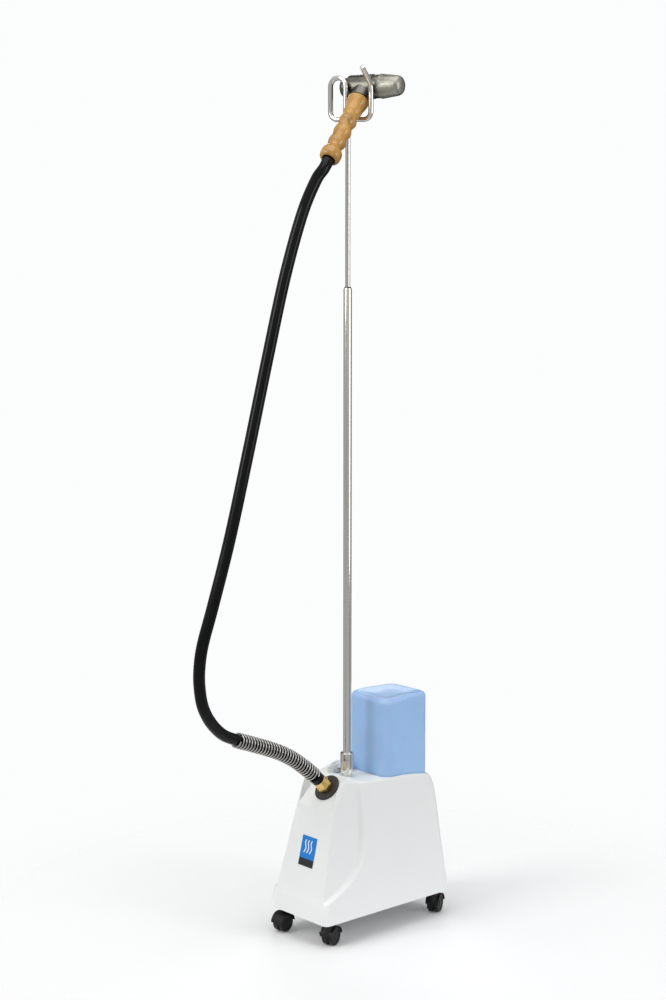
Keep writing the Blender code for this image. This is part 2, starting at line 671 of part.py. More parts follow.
def along(points, distance):
    """The point and direction at a distance along a polyline."""
    for a, b in zip(points, points[1:]):
        step = (b - a).length
        if distance <= step:
            return a.lerp(b, distance / step), (b - a) / step
        distance -= step
    return points[-1], (points[-1] - points[-2]).normalized()


GUARD_TURNS = 30
GUARD_LENGTH = 0.222
GUARD_WIRE = 0.0017


def build_guard(route):
    """An open spring on the first stretch of hose, flared away from it at both ends."""
    fine = smooth_curve(route, 0.004)
    start = CUFF_END + 0.0021 - HOSE_START
    points = []
    side = Vector((1, 0, 0))
    per_turn = 8
    for n in range(GUARD_TURNS * per_turn + 1):
        share = n / (GUARD_TURNS * per_turn)
        centre, ahead = along(fine, start + GUARD_LENGTH * share)
        across = (side - ahead * side.dot(ahead)).normalized()
        up = ahead.cross(across)
        angle = 2 * math.pi * n / per_turn
        reach = (HOSE_RADIUS + GUARD_WIRE + 0.0004) / math.cos(math.pi / per_turn)
        points.append(centre + (across * math.cos(angle) + up * math.sin(angle)) * reach)
    wire("spring_guard", "nickel", points, GUARD_WIRE, resolution=0)


def handle_point(distance):
    base = hook_point(HANDLE_ALONG, -HEAD_BACK, HEAD_Z)
    return base + HANDLE_DIR * distance


def hook_point(along_hook, forward, z):
    pole = Vector((0, POLE_Y, z))
    return pole + HOOK_ALONG * along_hook + HOOK_FORWARD * forward


HANDLE_DIR = HOOK_FORWARD * math.sin(HANDLE_LEAN) - Vector((0, 0, 1)) * math.cos(HANDLE_LEAN)


def hose_route():
    end = handle_point(HANDLE_END - 0.030)
    near = handle_point(HANDLE_END + 0.022)
    start = OUTLET + OUTLET_DIR * HOSE_START
    return [start, *(Vector(p) for p in HOSE_ROUTE), near, handle_point(HANDLE_END - 0.004), end]


def build_hose(route):
    points = smooth_curve(route, HOSE_STEP)
    split = round((len(points) - 1) * HOSE_SPLIT)
    lower, upper = points[:split + 1], points[split:]
    ahead = (upper[1] - upper[0]).normalized()
    upper[0] = upper[0] + ahead * GAP
    wire("hose_lower", "rubber_black", lower, HOSE_RADIUS, resolution=3)
    wire("hose_upper", "rubber_black", upper, HOSE_RADIUS, resolution=3)


# ---------------------------------------------------------------- pole, hook and handset


def build_pole():
    socket = turned("pole_socket", "nickel", [
        (SOCKET_RADIUS - 0.001, SOCKET_TOP), (SOCKET_RADIUS, SOCKET_TOP - 0.001), (SOCKET_RADIUS, 0.3125),
        (0.0093, 0.3125), (0.0093, 0.268), (0, 0.268), (0, 0.2695), (POLE_RADIUS + GAP, 0.2695),
        (POLE_RADIUS + GAP, SOCKET_TOP), (SOCKET_RADIUS - 0.001, SOCKET_TOP)], (0, POLE_Y, 0))
    slit = box("socket_slit", "steel", (0.0016, 0.02, 0.034), (-0.004, POLE_Y - 0.012, SOCKET_TOP - 0.0145),
               spin=math.radians(-14))
    cut(socket, as_cutter(slit))
    facing = Vector((1, -1, 0)).normalized()
    screw_at = Vector((0, POLE_Y, 0.3400))
    hole = cylinder("screw_cutter", "steel", 0.0028, 0.012, screw_at + facing * (SOCKET_RADIUS + 0.0003), facing,
                    sides=12)
    cut(socket, as_cutter(hole))
    cylinder("socket_screw", "steel", 0.0025, 0.0055, screw_at + facing * 0.0116, facing, sides=12, bevel=0.0004)
    bracket = box("pole_bracket", "steel", (0.060, 0.034, 0.0025), (0, POLE_Y, 0.2955), bevel=0.0005)
    cut(bracket, as_cutter(cylinder("bracket_hole", "steel", 0.0097, 0.02, (0, POLE_Y, 0.2955))))
    bore = POLE_RADIUS - POLE_WALL
    neck = POLE_RADIUS - 0.0010
    turned("lower_pole", "nickel", [
        (neck, POLE_TOP), (POLE_RADIUS, POLE_TOP - 0.0025), (POLE_RADIUS, POLE_BOTTOM), (bore, POLE_BOTTOM),
        (bore, POLE_TOP), (neck, POLE_TOP)], (0, POLE_Y, 0))
    turned("pole_bushing", "black_plastic", [
        (bore - 0.0005, POLE_TOP + 0.0018), (neck - 0.0006, POLE_TOP + GAP), (bore - GAP, POLE_TOP + GAP),
        (bore - GAP, POLE_TOP - 0.016), (ROD_RADIUS + GAP, POLE_TOP - 0.016), (ROD_RADIUS + GAP, POLE_TOP + 0.0018),
        (bore - 0.0005, POLE_TOP + 0.0018)], (0, POLE_Y, 0))
    turned("rod_glide", "black_plastic", [
        (bore - GAP, ROD_BOTTOM + 0.020), (bore - GAP, ROD_BOTTOM - 0.002), (0.002, ROD_BOTTOM - 0.002),
        (0.002, ROD_BOTTOM - GAP), (ROD_RADIUS + GAP, ROD_BOTTOM - GAP), (ROD_RADIUS + GAP, ROD_BOTTOM + 0.020),
        (bore - GAP, ROD_BOTTOM + 0.020)], (0, POLE_Y, 0))


def arc(centre, radius, start, end, steps, forward=HOOK_LAYER, forward_end=None):
    """Points (along, forward, z) on an arc in the hook's plane; angles in degrees."""
    forward_end = forward if forward_end is None else forward_end
    found = []
    for n in range(steps + 1):
        angle = math.radians(start + (end - start) * n / steps)
        found.append((centre[0] + radius * math.cos(angle),
                      forward + (forward_end - forward) * n / steps, centre[1] + radius * math.sin(angle)))
    return found


def hook_route():
    bend, loop = 0.014, (HOOK_MIDDLE - HOOK_LEFT) / 2
    low = HOOK_LOW
    route = [(0, 0, ROD_BOTTOM), (0, 0, low - bend)]
    route += arc((-bend, low - bend), bend, 15, 90, 5, 0, 0)
    route += arc((HOOK_LEFT + bend, low + bend), bend, 270, 180, 6, 0, 0)
    middle = (HOOK_LEFT + HOOK_MIDDLE) / 2
    route += arc((middle, HOOK_TOP - loop), loop, 180, 0, 12, 0, HOOK_LAYER)
    route += arc((HOOK_MIDDLE + bend, low + bend), bend, 180, 270, 6)
    route += arc((HOOK_RIGHT - bend, low + bend), bend, 270, 360, 6)
    route += [(HOOK_RIGHT, HOOK_LAYER, 1.622), (HOOK_RIGHT, HOOK_LAYER + 0.002, 1.629),
              (HOOK_RIGHT, HOOK_LAYER + 0.008, 1.637), (HOOK_RIGHT + 0.001, HOOK_LAYER + 0.034, 1.661)]
    return [hook_point(*p) for p in route]


def build_handset():
    head_dir = (HOOK_ALONG * math.cos(HEAD_TILT) + Vector((0, 0, 1)) * math.sin(HEAD_TILT)).normalized()
    head = hook_point(HANDLE_ALONG, -HEAD_BACK, HEAD_Z) - head_dir * HANDLE_ALONG
    turned("head_end_cap", "cast_aluminium", [
        (0.0175, -0.0085), (0.0185, -0.0095), (0.0185, -0.0165), (0.0168, -0.0212), (0.0120, -0.0236), (0, -0.0243),
        (0, -0.0205), (0.0140, -0.0195), (0.0150, -0.0165), (0.0150, -0.0085), (0.0175, -0.0085)], head, head_dir)
    turned("head_seal", "rubber_black", ring_profile(0.0200, 0.0150, -0.0082, -0.0062), head, head_dir)
    bore = 0.0185
    body = turned("head_body", "cast_aluminium", [
        (HEAD_RADIUS - 0.0020, 0.0460), (HEAD_RADIUS, 0.0440), (HEAD_RADIUS, -0.0030),
        (HEAD_RADIUS - 0.0020, -0.0059), (bore, -0.0059), (bore, 0.0460), (HEAD_RADIUS - 0.0020, 0.0460)], head, head_dir, 24)
    reach = HANDLE_START - GAP
    branch = cylinder("head_branch", "cast_aluminium", BRANCH_RADIUS, reach - 0.012,
                      handle_point((reach + 0.012) / 2), HANDLE_DIR, sides=24)
    cut(body, as_cutter(branch), "UNION")
    cut(body, as_cutter(cylinder("barrel_cutter", "steel", bore - 0.0001, 0.120, head, head_dir, sides=24)))
    port = cylinder("port_cutter", "steel", 0.0072, 0.050, handle_point(0.0275), HANDLE_DIR, sides=16)
    cut(body, as_cutter(port))
    turned("head_collar", "cast_aluminium", [
        (0.0214, 0.0600), (0.0220, 0.0590), (0.0220, 0.0475), (0.0214, 0.0463), (0.0175, 0.0463), (0.0175, 0.0600),
        (0.0214, 0.0600)], head, head_dir, 24)
    nozzle = turned("steam_nozzle", "cast_aluminium", [
        (0, 0.1050), (0.0085, 0.1042), (0.0150, 0.1018), (0.0182, 0.0975), (0.0196, 0.0905), (0.0230, 0.0625),
        (0.0225, 0.0603), (0.0195, 0.0603), (0.0200, 0.0630), (0.0166, 0.0905), (0.0148, 0.0970), (0, 0.1010)],
        head, head_dir, 24)
    away = -HOOK_FORWARD
    for n in range(4):
        centre = head + head_dir * (0.066 + 0.0095 * n) + away * 0.018
        slot = box(f"steam_slot_{n}", "steel", (0.0032, 0.016, 0.03), centre, direction=away)
        cut(nozzle, as_cutter(slot))
    build_handle()


def handle_radius(distance):
    """Full at the head, finger grooves below it, and a rounded bulb at the hose."""
    first, last = GRIP
    radius = 0.0205 - 0.0037 * smoothstep(0.037, 0.062, distance)
    if first < distance < last:
        radius -= 0.0010 * (1 - math.cos(2 * math.pi * GROOVES * (distance - first) / (last - first)))
    return radius + 0.0028 * smoothstep(0.158, 0.172, distance)


def build_handle():
    bore, throat = HOSE_RADIUS + 0.0012, 0.0072
    outside = []
    count = 26
    for n in range(count + 1):
        distance = HANDLE_START + 0.002 + (HANDLE_END - HANDLE_START - 0.006) * n / count
        outside.append((handle_radius(distance), distance))
    bulb = handle_radius(HANDLE_END)
    rim = [(bulb - 0.0010, HANDLE_END - 0.003), (bulb - 0.0045, HANDLE_END), (bore + 0.0025, HANDLE_END),
           (bore, HANDLE_END - 0.0020)]
    inside = [(bore, HANDLE_END - 0.034), (throat, HANDLE_END - 0.036), (throat, HANDLE_START)]
    top = [(handle_radius(HANDLE_START) - 0.0022, HANDLE_START)]
    profile = [*top, *outside, *rim, *inside, *top]
    turned("handle", "handle_amber", list(reversed(profile)), handle_point(0), HANDLE_DIR, 20)
    turned("handle_tube", "brass", ring_profile(0.0068, 0.0050, -(HANDLE_END - 0.0365), -(HEAD_RADIUS - 0.0015)),
           handle_point(0), -HANDLE_DIR, 16)


# ---------------------------------------------------------------- casters, switch, gland, label


def caster_at(sx, sy):
    return sx * CASTER_X, sy * CASTER_Y


def build_caster(number, x, y, heading):
    """A stem caster: a hood over twin wheels on one axle, which trail behind the stem."""
    top = HOUSING_BOTTOM + 0.004 - GAP
    trail = Vector((math.cos(heading), math.sin(heading), 0))
    axle_dir = Vector((-math.sin(heading), math.cos(heading), 0))
    axle = Vector((x, y, WHEEL_RADIUS)) + trail * CASTER_TRAIL
    hood_low = 0.020
    hood_radius = WHEEL_RADIUS + 0.0012
    hood = cylinder(f"caster_hood_{number}", "black_plastic", hood_radius, 0.0050, axle, axle_dir, sides=18)
    cap = cylinder(f"hood_cap_{number}", "black_plastic", hood_radius + 0.0012, 2 * WHEEL_WIDTH + 0.0095, axle,
                   axle_dir, sides=18)
    room = WHEEL_WIDTH + 0.0014
    for side in (-1, 1):
        pocket = cylinder(f"hood_pocket_{number}_{side}", "black_plastic", WHEEL_RADIUS + 0.0007, room * 1.6,
                          axle + axle_dir * side * (0.0025 + room * 0.8), axle_dir, sides=18)
        cut(cap, as_cutter(pocket))
    keep = box(f"hood_keep_{number}", "black_plastic", (0.06, 0.06, 0.03), (axle.x, axle.y, hood_low + 0.015))
    cut(cap, as_cutter(keep), "INTERSECT")
    keep_low = box(f"rib_keep_{number}", "black_plastic", (0.06, 0.06, 0.036), axle + Vector((0, 0, 0.0095)))
    cut(hood, as_cutter(keep_low), "INTERSECT")
    cut(hood, as_cutter(cap), "UNION")
    stem_low = 0.024
    boss = cylinder(f"hood_boss_{number}", "black_plastic", 0.0090, top - 0.0035 - stem_low,
                    (x, y, (top - 0.0035 + stem_low) / 2), sides=14)
    clear = cylinder(f"hood_clear_{number}", "black_plastic", WHEEL_RADIUS + 0.0007, 0.05, axle, axle_dir, sides=18)
    cut(boss, as_cutter(clear))
    cut(hood, as_cutter(boss), "UNION")
    cut(hood, as_cutter(cylinder(f"axle_hole_{number}", "steel", 0.0024, 0.05, axle, axle_dir, sides=12)))
    cut(hood, as_cutter(cylinder(f"stem_hole_{number}", "steel", 0.0044, 0.02, (x, y, top - 0.0035), sides=12)))
    turned(f"caster_stem_{number}", "steel", [
        (0.0040, 0.0115), (0.0045, 0.0110), (0.0045, 0.0022), (0.0080, 0.0022), (0.0080, 0), (0.0040, 0),
        (0.0040, -0.0080), (0, -0.0080), (0, 0.0115), (0.0040, 0.0115)], (x, y, top - 0.0030), steps=10)
    turned(f"caster_axle_{number}", "steel", [(0, 0.0098), (0.0021, 0.0098), (0.0021, -0.0098), (0, -0.0098)],
           axle, axle_dir, 10)
    for name, side in (("left", -1), ("right", 1)):
        near, far = 0.0030, 0.0030 + WHEEL_WIDTH
        r = WHEEL_RADIUS
        turned(f"wheel_{name}_{number}", "black_plastic", [
            (0, far - 0.0004), (0.0062, far - 0.0006), (0.0135, far - 0.0018), (r - 0.0022, far),
            (r, far - 0.0022), (r, near), (0.0024, near), (0.0024, 0.0101), (0, 0.0101)],
            axle, axle_dir * side, 16)


def build_switch():
    """A rocker switch in the pod: a bezel with a body behind it, and the rocker in its pocket."""
    def block(name, width, length, low, high, bevel=0.0):
        return box(name, "housing_white", (width, length, high - low), SWITCH_AT + POD_NORMAL * (low + high) / 2,
                   bevel, direction=POD_NORMAL)

    frame = block("switch_frame", 0.0178, 0.0296, GAP, 0.0022, 0.0005)
    cut(frame, as_cutter(block("switch_body", 0.0142, 0.0256, -0.0110, 0.0012)), "UNION")
    cut(frame, as_cutter(block("rocker_pocket", 0.0118, 0.0186, -0.0090, 0.0100)))
    pocket_axis = POD_NORMAL.cross(Vector((0, 1, 0))).normalized() * -1
    rocker = cylinder("switch_rocker", "switch_white", 0.0084, 0.0110, SWITCH_PIVOT, pocket_axis, sides=20)
    tilt = Matrix.Rotation(ROCKER_TILT, 3, pocket_axis) @ POD_NORMAL
    trim = box("rocker_trim", "switch_white", (0.03, 0.03, 0.02), SWITCH_PIVOT + tilt * 0.0138, direction=tilt)
    cut(rocker, as_cutter(trim))


def build_gland():
    turned("cord_gland", "black_plastic", [
        (0.0052, 0.0125), (0.0060, 0.0115), (0.0075, 0.0055), (0.0115, 0.0040), (0.0115, GAP), (0.0078, GAP),
        (0.0078, -0.0070), (0.0036, -0.0070), (0.0036, 0.0125), (0.0052, 0.0125)], GLAND_AT, REAR_NORMAL, 20)


LABEL_CENTRE = Vector((0.0015, -0.1398, 0.1735))
LABEL_SIZE = (0.041, 0.058)


def build_label():
    slope = math.atan2(FRONT_EDGE[5][0] - FRONT_EDGE[3][0], FRONT_EDGE[5][1] - FRONT_EDGE[3][1])
    normal = Vector((0, -math.cos(slope), math.sin(slope)))
    plate = box("label_plate", "label_blue", (LABEL_SIZE[0], LABEL_SIZE[1], 0.0006), (0, 0, 0))
    y = FRONT_EDGE[3][0] + (LABEL_CENTRE.z - FRONT_EDGE[3][1]) * math.tan(slope)
    where = Vector((LABEL_CENTRE.x, y, LABEL_CENTRE.z)) + normal * (0.0006 / 2 + GAP)
    plate.matrix_local = Matrix.Translation(where) @ Matrix.Rotation(math.pi / 2 - slope, 4, "X")


def main():
    clear_scene()
    root = bpy.data.objects.new("steamer", None)
    bpy.context.scene.collection.objects.link(root)
    root.location = (ORIGIN_SHIFT, 0, 0)
    build_housing()
    build_base_screws(build_base_plate())
    lid_top = build_boiler()
    build_steam_path(lid_top)
    build_outlet()
    build_bottle()
    build_cap()
    build_well()
    build_pole()
    wire("hook_rod", "nickel", hook_route(), ROD_RADIUS)
    build_handset()
    route = hose_route()
    build_hose(route)
    build_guard(route)
    for number, (sx, sy) in enumerate(((-1, -1), (1, -1), (1, 1), (-1, 1)), 1):
        build_caster(number, *caster_at(sx, sy), math.radians(CASTER_HEADINGS[number - 1]))
    build_switch()
    build_gland()
    build_label()


main()
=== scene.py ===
"""Looks of an upright garment steamer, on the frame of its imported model. Metres, +Z up, -Y is the front."""

import json
import math

import bmesh
import bpy
from mathutils import Matrix, Vector


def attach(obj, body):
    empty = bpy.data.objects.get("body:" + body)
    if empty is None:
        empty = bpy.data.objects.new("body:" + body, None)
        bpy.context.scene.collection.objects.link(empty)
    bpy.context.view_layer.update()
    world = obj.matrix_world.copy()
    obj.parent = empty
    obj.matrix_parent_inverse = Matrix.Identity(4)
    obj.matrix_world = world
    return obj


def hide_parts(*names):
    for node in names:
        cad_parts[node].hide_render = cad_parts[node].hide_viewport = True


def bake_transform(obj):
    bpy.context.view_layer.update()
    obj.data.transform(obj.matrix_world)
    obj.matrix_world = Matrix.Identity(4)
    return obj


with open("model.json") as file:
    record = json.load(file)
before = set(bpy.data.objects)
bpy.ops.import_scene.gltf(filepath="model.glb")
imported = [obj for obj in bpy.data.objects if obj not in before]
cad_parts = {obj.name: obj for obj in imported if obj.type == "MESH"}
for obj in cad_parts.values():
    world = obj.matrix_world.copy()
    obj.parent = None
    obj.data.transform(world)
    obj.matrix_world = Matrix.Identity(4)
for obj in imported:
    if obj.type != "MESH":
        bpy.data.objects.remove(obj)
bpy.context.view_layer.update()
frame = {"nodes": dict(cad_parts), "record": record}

NODES = frame["nodes"]
CENTRE_X = -0.0045  # the base's middle plane; the steam head reaches past one side
UP = Vector((0, 0, 1))

# ---------------------------------------------------------------- dimensions, as in the CAD model

BASE_WIDTH, HOUSING_BOTTOM, WALL, SIDE_TAPER = 0.166, 0.048, 0.003, 0.105
CORNER_RADIUS = 0.0105
FRONT_EDGE = [(-0.164, 0.048), (-0.1637, 0.075), (-0.1565, 0.100), (-0.1469, 0.141), (-0.1373, 0.180),
              (-0.1280, 0.220), (-0.1178, 0.2585), (-0.1078, 0.292), (-0.1010, 0.310), (-0.0940, 0.3155)]
REAR_EDGE = [(0.164, 0.048), (0.1646, 0.070), (0.1613, 0.0986), (0.1585, 0.130), (0.1558, 0.161),
             (0.1535, 0.193), (0.1512, 0.2225), (0.1478, 0.254), (0.1412, 0.2775), (0.1335, 0.2885)]
DECK_WAVE, RIM_ROUND = 0.0035, 0.0028
RECESS_DEPTH, CREASE_BLEND = 0.0095, 0.010
CREASE_TOP, CREASE_SWEEP, CREASE_DROP, CREASE_POWER = (-0.048, 0.309), 0.061, 0.200, 6

OUTLET_RISE = math.radians(43)
OUTLET = Vector((0, -0.0878, 0.2899))
OUTLET_DIR = Vector((0, -math.cos(OUTLET_RISE), math.sin(OUTLET_RISE)))
NOTCH_HALF_WIDTH, FLANGE_RADIUS, HOSE_RADIUS = 0.049, 0.0275, 0.011
HOSE_START, CUFF_END = 0.0325, 0.0460

POLE_Y, POLE_RADIUS, ROD_RADIUS = -0.0363, 0.00795, 0.00475
SOCKET_RADIUS, SOCKET_TOP = 0.0132, 0.3515
POLE_BOTTOM, POLE_TOP, ROD_BOTTOM = 0.270, 1.2546, 1.120
POLE = Vector((0, POLE_Y, 0))

HOOK_TURN = math.radians(17.6)
HOOK_ALONG = Vector((math.cos(HOOK_TURN), math.sin(HOOK_TURN), 0))
HOOK_FORWARD = Vector((math.sin(HOOK_TURN), -math.cos(HOOK_TURN), 0))
HOOK_LEFT, HOOK_MIDDLE, HOOK_RIGHT = -0.0376, -0.0005, 0.0537
HOOK_LAYER, HOOK_LOW, HOOK_TOP = 0.0075, 1.5670, 1.6430

HEAD_BACK, HEAD_Z, HEAD_TILT, HANDLE_ALONG = 0.0215, 1.6265, math.radians(1.5), 0.025
HANDLE_LEAN, HANDLE_START, HANDLE_END, HEAD_RADIUS = math.radians(45), 0.0335, 0.188, 0.0232
BRANCH_RADIUS = 0.0192
GRIP, GROOVES = (0.0648, 0.1708), 4
HANDLE_DIR = HOOK_FORWARD * math.sin(HANDLE_LEAN) - UP * math.cos(HANDLE_LEAN)
HEAD_DIR = (HOOK_ALONG * math.cos(HEAD_TILT) + UP * math.sin(HEAD_TILT)).normalized()

BOTTLE_HALF_WIDTH, BOTTLE_FRONT, BOTTLE_REAR = 0.0535, 0.0140, 0.1320
BOTTLE_TOP, BOTTLE_SHOULDER, BOTTLE_CORNER = 0.458, 0.262, 0.016
BOTTLE = Vector((0, (BOTTLE_FRONT + BOTTLE_REAR) / 2, 0))
NECK_RADIUS, CAP_BOTTOM = 0.019, 0.206

POD_X, POD_Y, POD_BOTTOM, POD_ROUND = (-0.0548, -0.0285), (-0.0660, 0.0020), 0.300, 0.0045
POD_NORMAL = Vector((-math.tan(math.radians(30)), -math.tan(math.radians(5)), 1)).normalized()
SWITCH_AT = Vector((-0.0415, -0.0320, 0.3190))
REAR_LEAN = math.atan2(REAR_EDGE[2][0] - REAR_EDGE[3][0], REAR_EDGE[3][1] - REAR_EDGE[2][1])
REAR_NORMAL = Vector((0, math.cos(REAR_LEAN), math.sin(REAR_LEAN)))
GLAND_AT = Vector((-0.035, REAR_EDGE[2][0] - (0.112 - REAR_EDGE[2][1]) * math.tan(REAR_LEAN), 0.112))

CASTER_AT = [(-0.062, -0.140, 280), (0.062, -0.140, 110), (0.062, 0.140, 117), (-0.062, 0.140, 300)]
WHEEL_RADIUS, WHEEL_WIDTH, CASTER_TRAIL = 0.018, 0.009, 0.011

HOSE_ROUTE = [
    (0.0000, -0.1185, 0.3186), (0.0002, -0.1420, 0.3390), (0.0006, -0.1730, 0.3625), (0.0010, -0.2063, 0.3822),
    (0.0018, -0.2420, 0.3985), (0.0025, -0.2800, 0.4140), (0.0035, -0.3161, 0.4285), (0.0060, -0.3500, 0.4455),
    (0.0105, -0.3810, 0.4745), (0.0156, -0.4030, 0.5090), (0.0211, -0.4145, 0.5480), (0.0270, -0.4190, 0.5855),
    (0.0330, -0.4155, 0.6300), (0.0389, -0.3960, 0.6990), (0.0444, -0.3600, 0.8200), (0.0495, -0.3185, 0.9800),
    (0.0538, -0.2780, 1.1400), (0.0571, -0.2390, 1.2850), (0.0588, -0.2000, 1.3950), (0.0580, -0.1660, 1.4560),
]
HOSE_STEP, HOSE_SPLIT = 0.040, 0.66
GUARD_TURNS, GUARD_LENGTH, GUARD_WIRE = 30, 0.222, 0.0017


# ---------------------------------------------------------------- camera, light and floor

BACKDROP, ROOM_LIGHT = (0.97, 0.975, 0.98), 0.80
FLOOR_SOLID, FLOOR_RADIUS = 0.22, 1.05
# Brightness round the room from behind the left shoulder, as (turn, grey)
ROOM_STRIPS = [(0.0, 0.45), (0.04, 1.0), (0.53, 1.0), (0.545, 0.30), (0.575, 0.30), (0.59, 1.0), (0.70, 1.0),
               (0.74, 0.12), (0.95, 0.12), (1.0, 0.45)]


def look(obj, where, target):
    obj.location = where
    obj.rotation_mode = "QUATERNION"
    obj.rotation_quaternion = (Vector(target) - Vector(where)).to_track_quat("-Z", "Y")


def area_light(name, where, target, size, power, colour=(1, 1, 1)):
    data = bpy.data.lights.new(name, "AREA")
    data.shape = "RECTANGLE"
    data.size, data.size_y = size
    data.energy = power
    data.color = colour
    obj = bpy.data.objects.new(name, data)
    bpy.context.scene.collection.objects.link(obj)
    look(obj, where, target)


def studio():
    data = bpy.data.cameras.new("camera")
    camera = bpy.data.objects.new("camera", data)
    bpy.context.scene.collection.objects.link(camera)
    bpy.context.scene.camera = camera
    data.lens = 78.61
    data.sensor_width = 36.0
    data.clip_start, data.clip_end = 0.05, 60
    look(camera, (3.0688, -2.7826, 1.5205), (-0.0408, -0.0412, 0.8460))
    aim = (0, 0, 0.7)
    area_light("key", (-0.6, -3.4, 2.7), aim, (1.6, 2.2), 56, (1.0, 0.99, 0.97))
    area_light("fill", (3.4, 1.2, 1.6), aim, (1.2, 2.6), 40, (0.97, 0.985, 1.0))
    area_light("back", (-2.2, 2.4, 2.6), aim, (1.6, 1.6), 24)
    area_light("top", (0.3, -0.2, 3.6), aim, (2.2, 2.2), 26)
    bpy.context.scene.view_settings.view_transform = "Standard"
    backdrop()
    floor()


def ramp_node(nodes, stops):
    """A colour ramp through (position, grey) stops."""
    ramp = nodes.new("ShaderNodeValToRGB")
    elements = ramp.color_ramp.elements
    elements[0].position, elements[0].color = stops[0][0], (*[stops[0][1]] * 3, 1)
    elements[1].position, elements[1].color = stops[-1][0], (*[stops[-1][1]] * 3, 1)
    for where, grey in stops[1:-1]:
        elements.new(where).color = (grey, grey, grey, 1)
    return ramp


def backdrop():
    """Plain and pale seen directly; as light, a soft box room with dark strips for the metal to show."""
    world = bpy.data.worlds.new("studio")
    bpy.context.scene.world = world
    world.use_nodes = True
    nodes, link = world.node_tree.nodes, world.node_tree.links.new
    nodes.clear()
    out = nodes.new("ShaderNodeOutputWorld")
    mix = nodes.new("ShaderNodeMixShader")
    path = nodes.new("ShaderNodeLightPath")
    seen = nodes.new("ShaderNodeBackground")
    seen.inputs["Color"].default_value = (*BACKDROP, 1)
    lit = nodes.new("ShaderNodeBackground")
    lit.inputs["Strength"].default_value = ROOM_LIGHT
    coords = nodes.new("ShaderNodeTexCoord")
    split = nodes.new("ShaderNodeSeparateXYZ")
    height = nodes.new("ShaderNodeMapRange")
    height.inputs["From Min"].default_value = -1
    by_height = ramp_node(nodes, [(0.0, 0.80), (0.42, 0.60), (0.52, 0.56), (0.62, 0.90), (1.0, 1.0)])
    angle = nodes.new("ShaderNodeMath")
    angle.operation = "ARCTAN2"
    turn = nodes.new("ShaderNodeMapRange")
    turn.inputs["From Min"].default_value = -math.pi
    turn.inputs["From Max"].default_value = math.pi
    by_turn = ramp_node(nodes, ROOM_STRIPS)
    both = nodes.new("ShaderNodeVectorMath")
    both.operation = "MULTIPLY"
    link(coords.outputs["Generated"], split.inputs[0])
    link(split.outputs["Z"], height.inputs["Value"])
    link(height.outputs["Result"], by_height.inputs["Fac"])
    link(split.outputs["Y"], angle.inputs[0])
    link(split.outputs["X"], angle.inputs[1])
    link(angle.outputs[0], turn.inputs["Value"])
    link(turn.outputs["Result"], by_turn.inputs["Fac"])
    link(by_height.outputs["Color"], both.inputs[0])
    link(by_turn.outputs["Color"], both.inputs[1])
    link(both.outputs[0], lit.inputs["Color"])
    link(path.outputs["Is Camera Ray"], mix.inputs["Fac"])
    link(lit.outputs[0], mix.inputs[1])
    link(seen.outputs[0], mix.inputs[2])
    link(mix.outputs[0], out.inputs["Surface"])


def floor():
    """A pale floor that fades into the backdrop away from the object."""
    bpy.ops.mesh.primitive_circle_add(vertices=96, radius=FLOOR_RADIUS, fill_type="NGON",
                                      location=(0, 0, -0.0004))
    disc = bpy.context.object
    disc.name = "floor"
    mat, nodes, links, shader = surface("floor_pale", (0.93, 0.935, 0.94), 0.75)
    shader.inputs["Specular IOR Level"].default_value = 0.15
    coords = nodes.new("ShaderNodeTexCoord")
    reach = nodes.new("ShaderNodeVectorMath")
    reach.operation = "LENGTH"
    fade = nodes.new("ShaderNodeMapRange")
    fade.interpolation_type = "SMOOTHSTEP"
    fade.inputs["From Min"].default_value = FLOOR_SOLID
    fade.inputs["From Max"].default_value = FLOOR_RADIUS * 0.97
    fade.inputs["To Min"].default_value = 1
    fade.inputs["To Max"].default_value = 0
    clear = nodes.new("ShaderNodeBsdfTransparent")
    blend = nodes.new("ShaderNodeMixShader")
    links.new(coords.outputs["Object"], reach.inputs[0])
    links.new(reach.outputs["Value"], fade.inputs["Value"])
    links.new(fade.outputs["Result"], blend.inputs["Fac"])
    links.new(clear.outputs[0], blend.inputs[1])
    links.new(shader.outputs[0], blend.inputs[2])
    links.new(blend.outputs[0], nodes["Material Output"].inputs["Surface"])
    disc.data.materials.append(mat)


# ---------------------------------------------------------------- materials

def surface(name, colour, roughness, metallic=0.0):
    mat = bpy.data.materials.new(name)
    mat.use_nodes = True
    mat.diffuse_color = (*colour, 1)
    tree = mat.node_tree
    shader = tree.nodes["Principled BSDF"]
    shader.inputs["Base Color"].default_value = (*colour, 1)
    shader.inputs["Roughness"].default_value = roughness
    shader.inputs["Metallic"].default_value = metallic
    return mat, tree.nodes, tree.links, shader


def pattern(nodes, links, scale, detail=3.0, stretch=(1, 1, 1), distortion=0.0):
    coords = nodes.new("ShaderNodeTexCoord")
    mapping = nodes.new("ShaderNodeMapping")
    mapping.inputs["Scale"].default_value = stretch
    noise = nodes.new("ShaderNodeTexNoise")
    noise.inputs["Scale"].default_value = scale
    noise.inputs["Detail"].default_value = detail
    noise.inputs["Distortion"].default_value = distortion
    links.new(coords.outputs["Object"], mapping.inputs["Vector"])
    links.new(mapping.outputs["Vector"], noise.inputs["Vector"])
    return noise


def tint(nodes, links, shader, noise, stops):
    """Base colour from the pattern, through (position, colour) stops."""
    ramp = nodes.new("ShaderNodeValToRGB")
    elements = ramp.color_ramp.elements
    elements[0].position, elements[0].color = stops[0][0], (*stops[0][1], 1)
    elements[1].position, elements[1].color = stops[-1][0], (*stops[-1][1], 1)
    for where, colour in stops[1:-1]:
        elements.new(where).color = (*colour, 1)
    links.new(noise.outputs["Fac"], ramp.inputs["Fac"])
    links.new(ramp.outputs["Color"], shader.inputs["Base Color"])


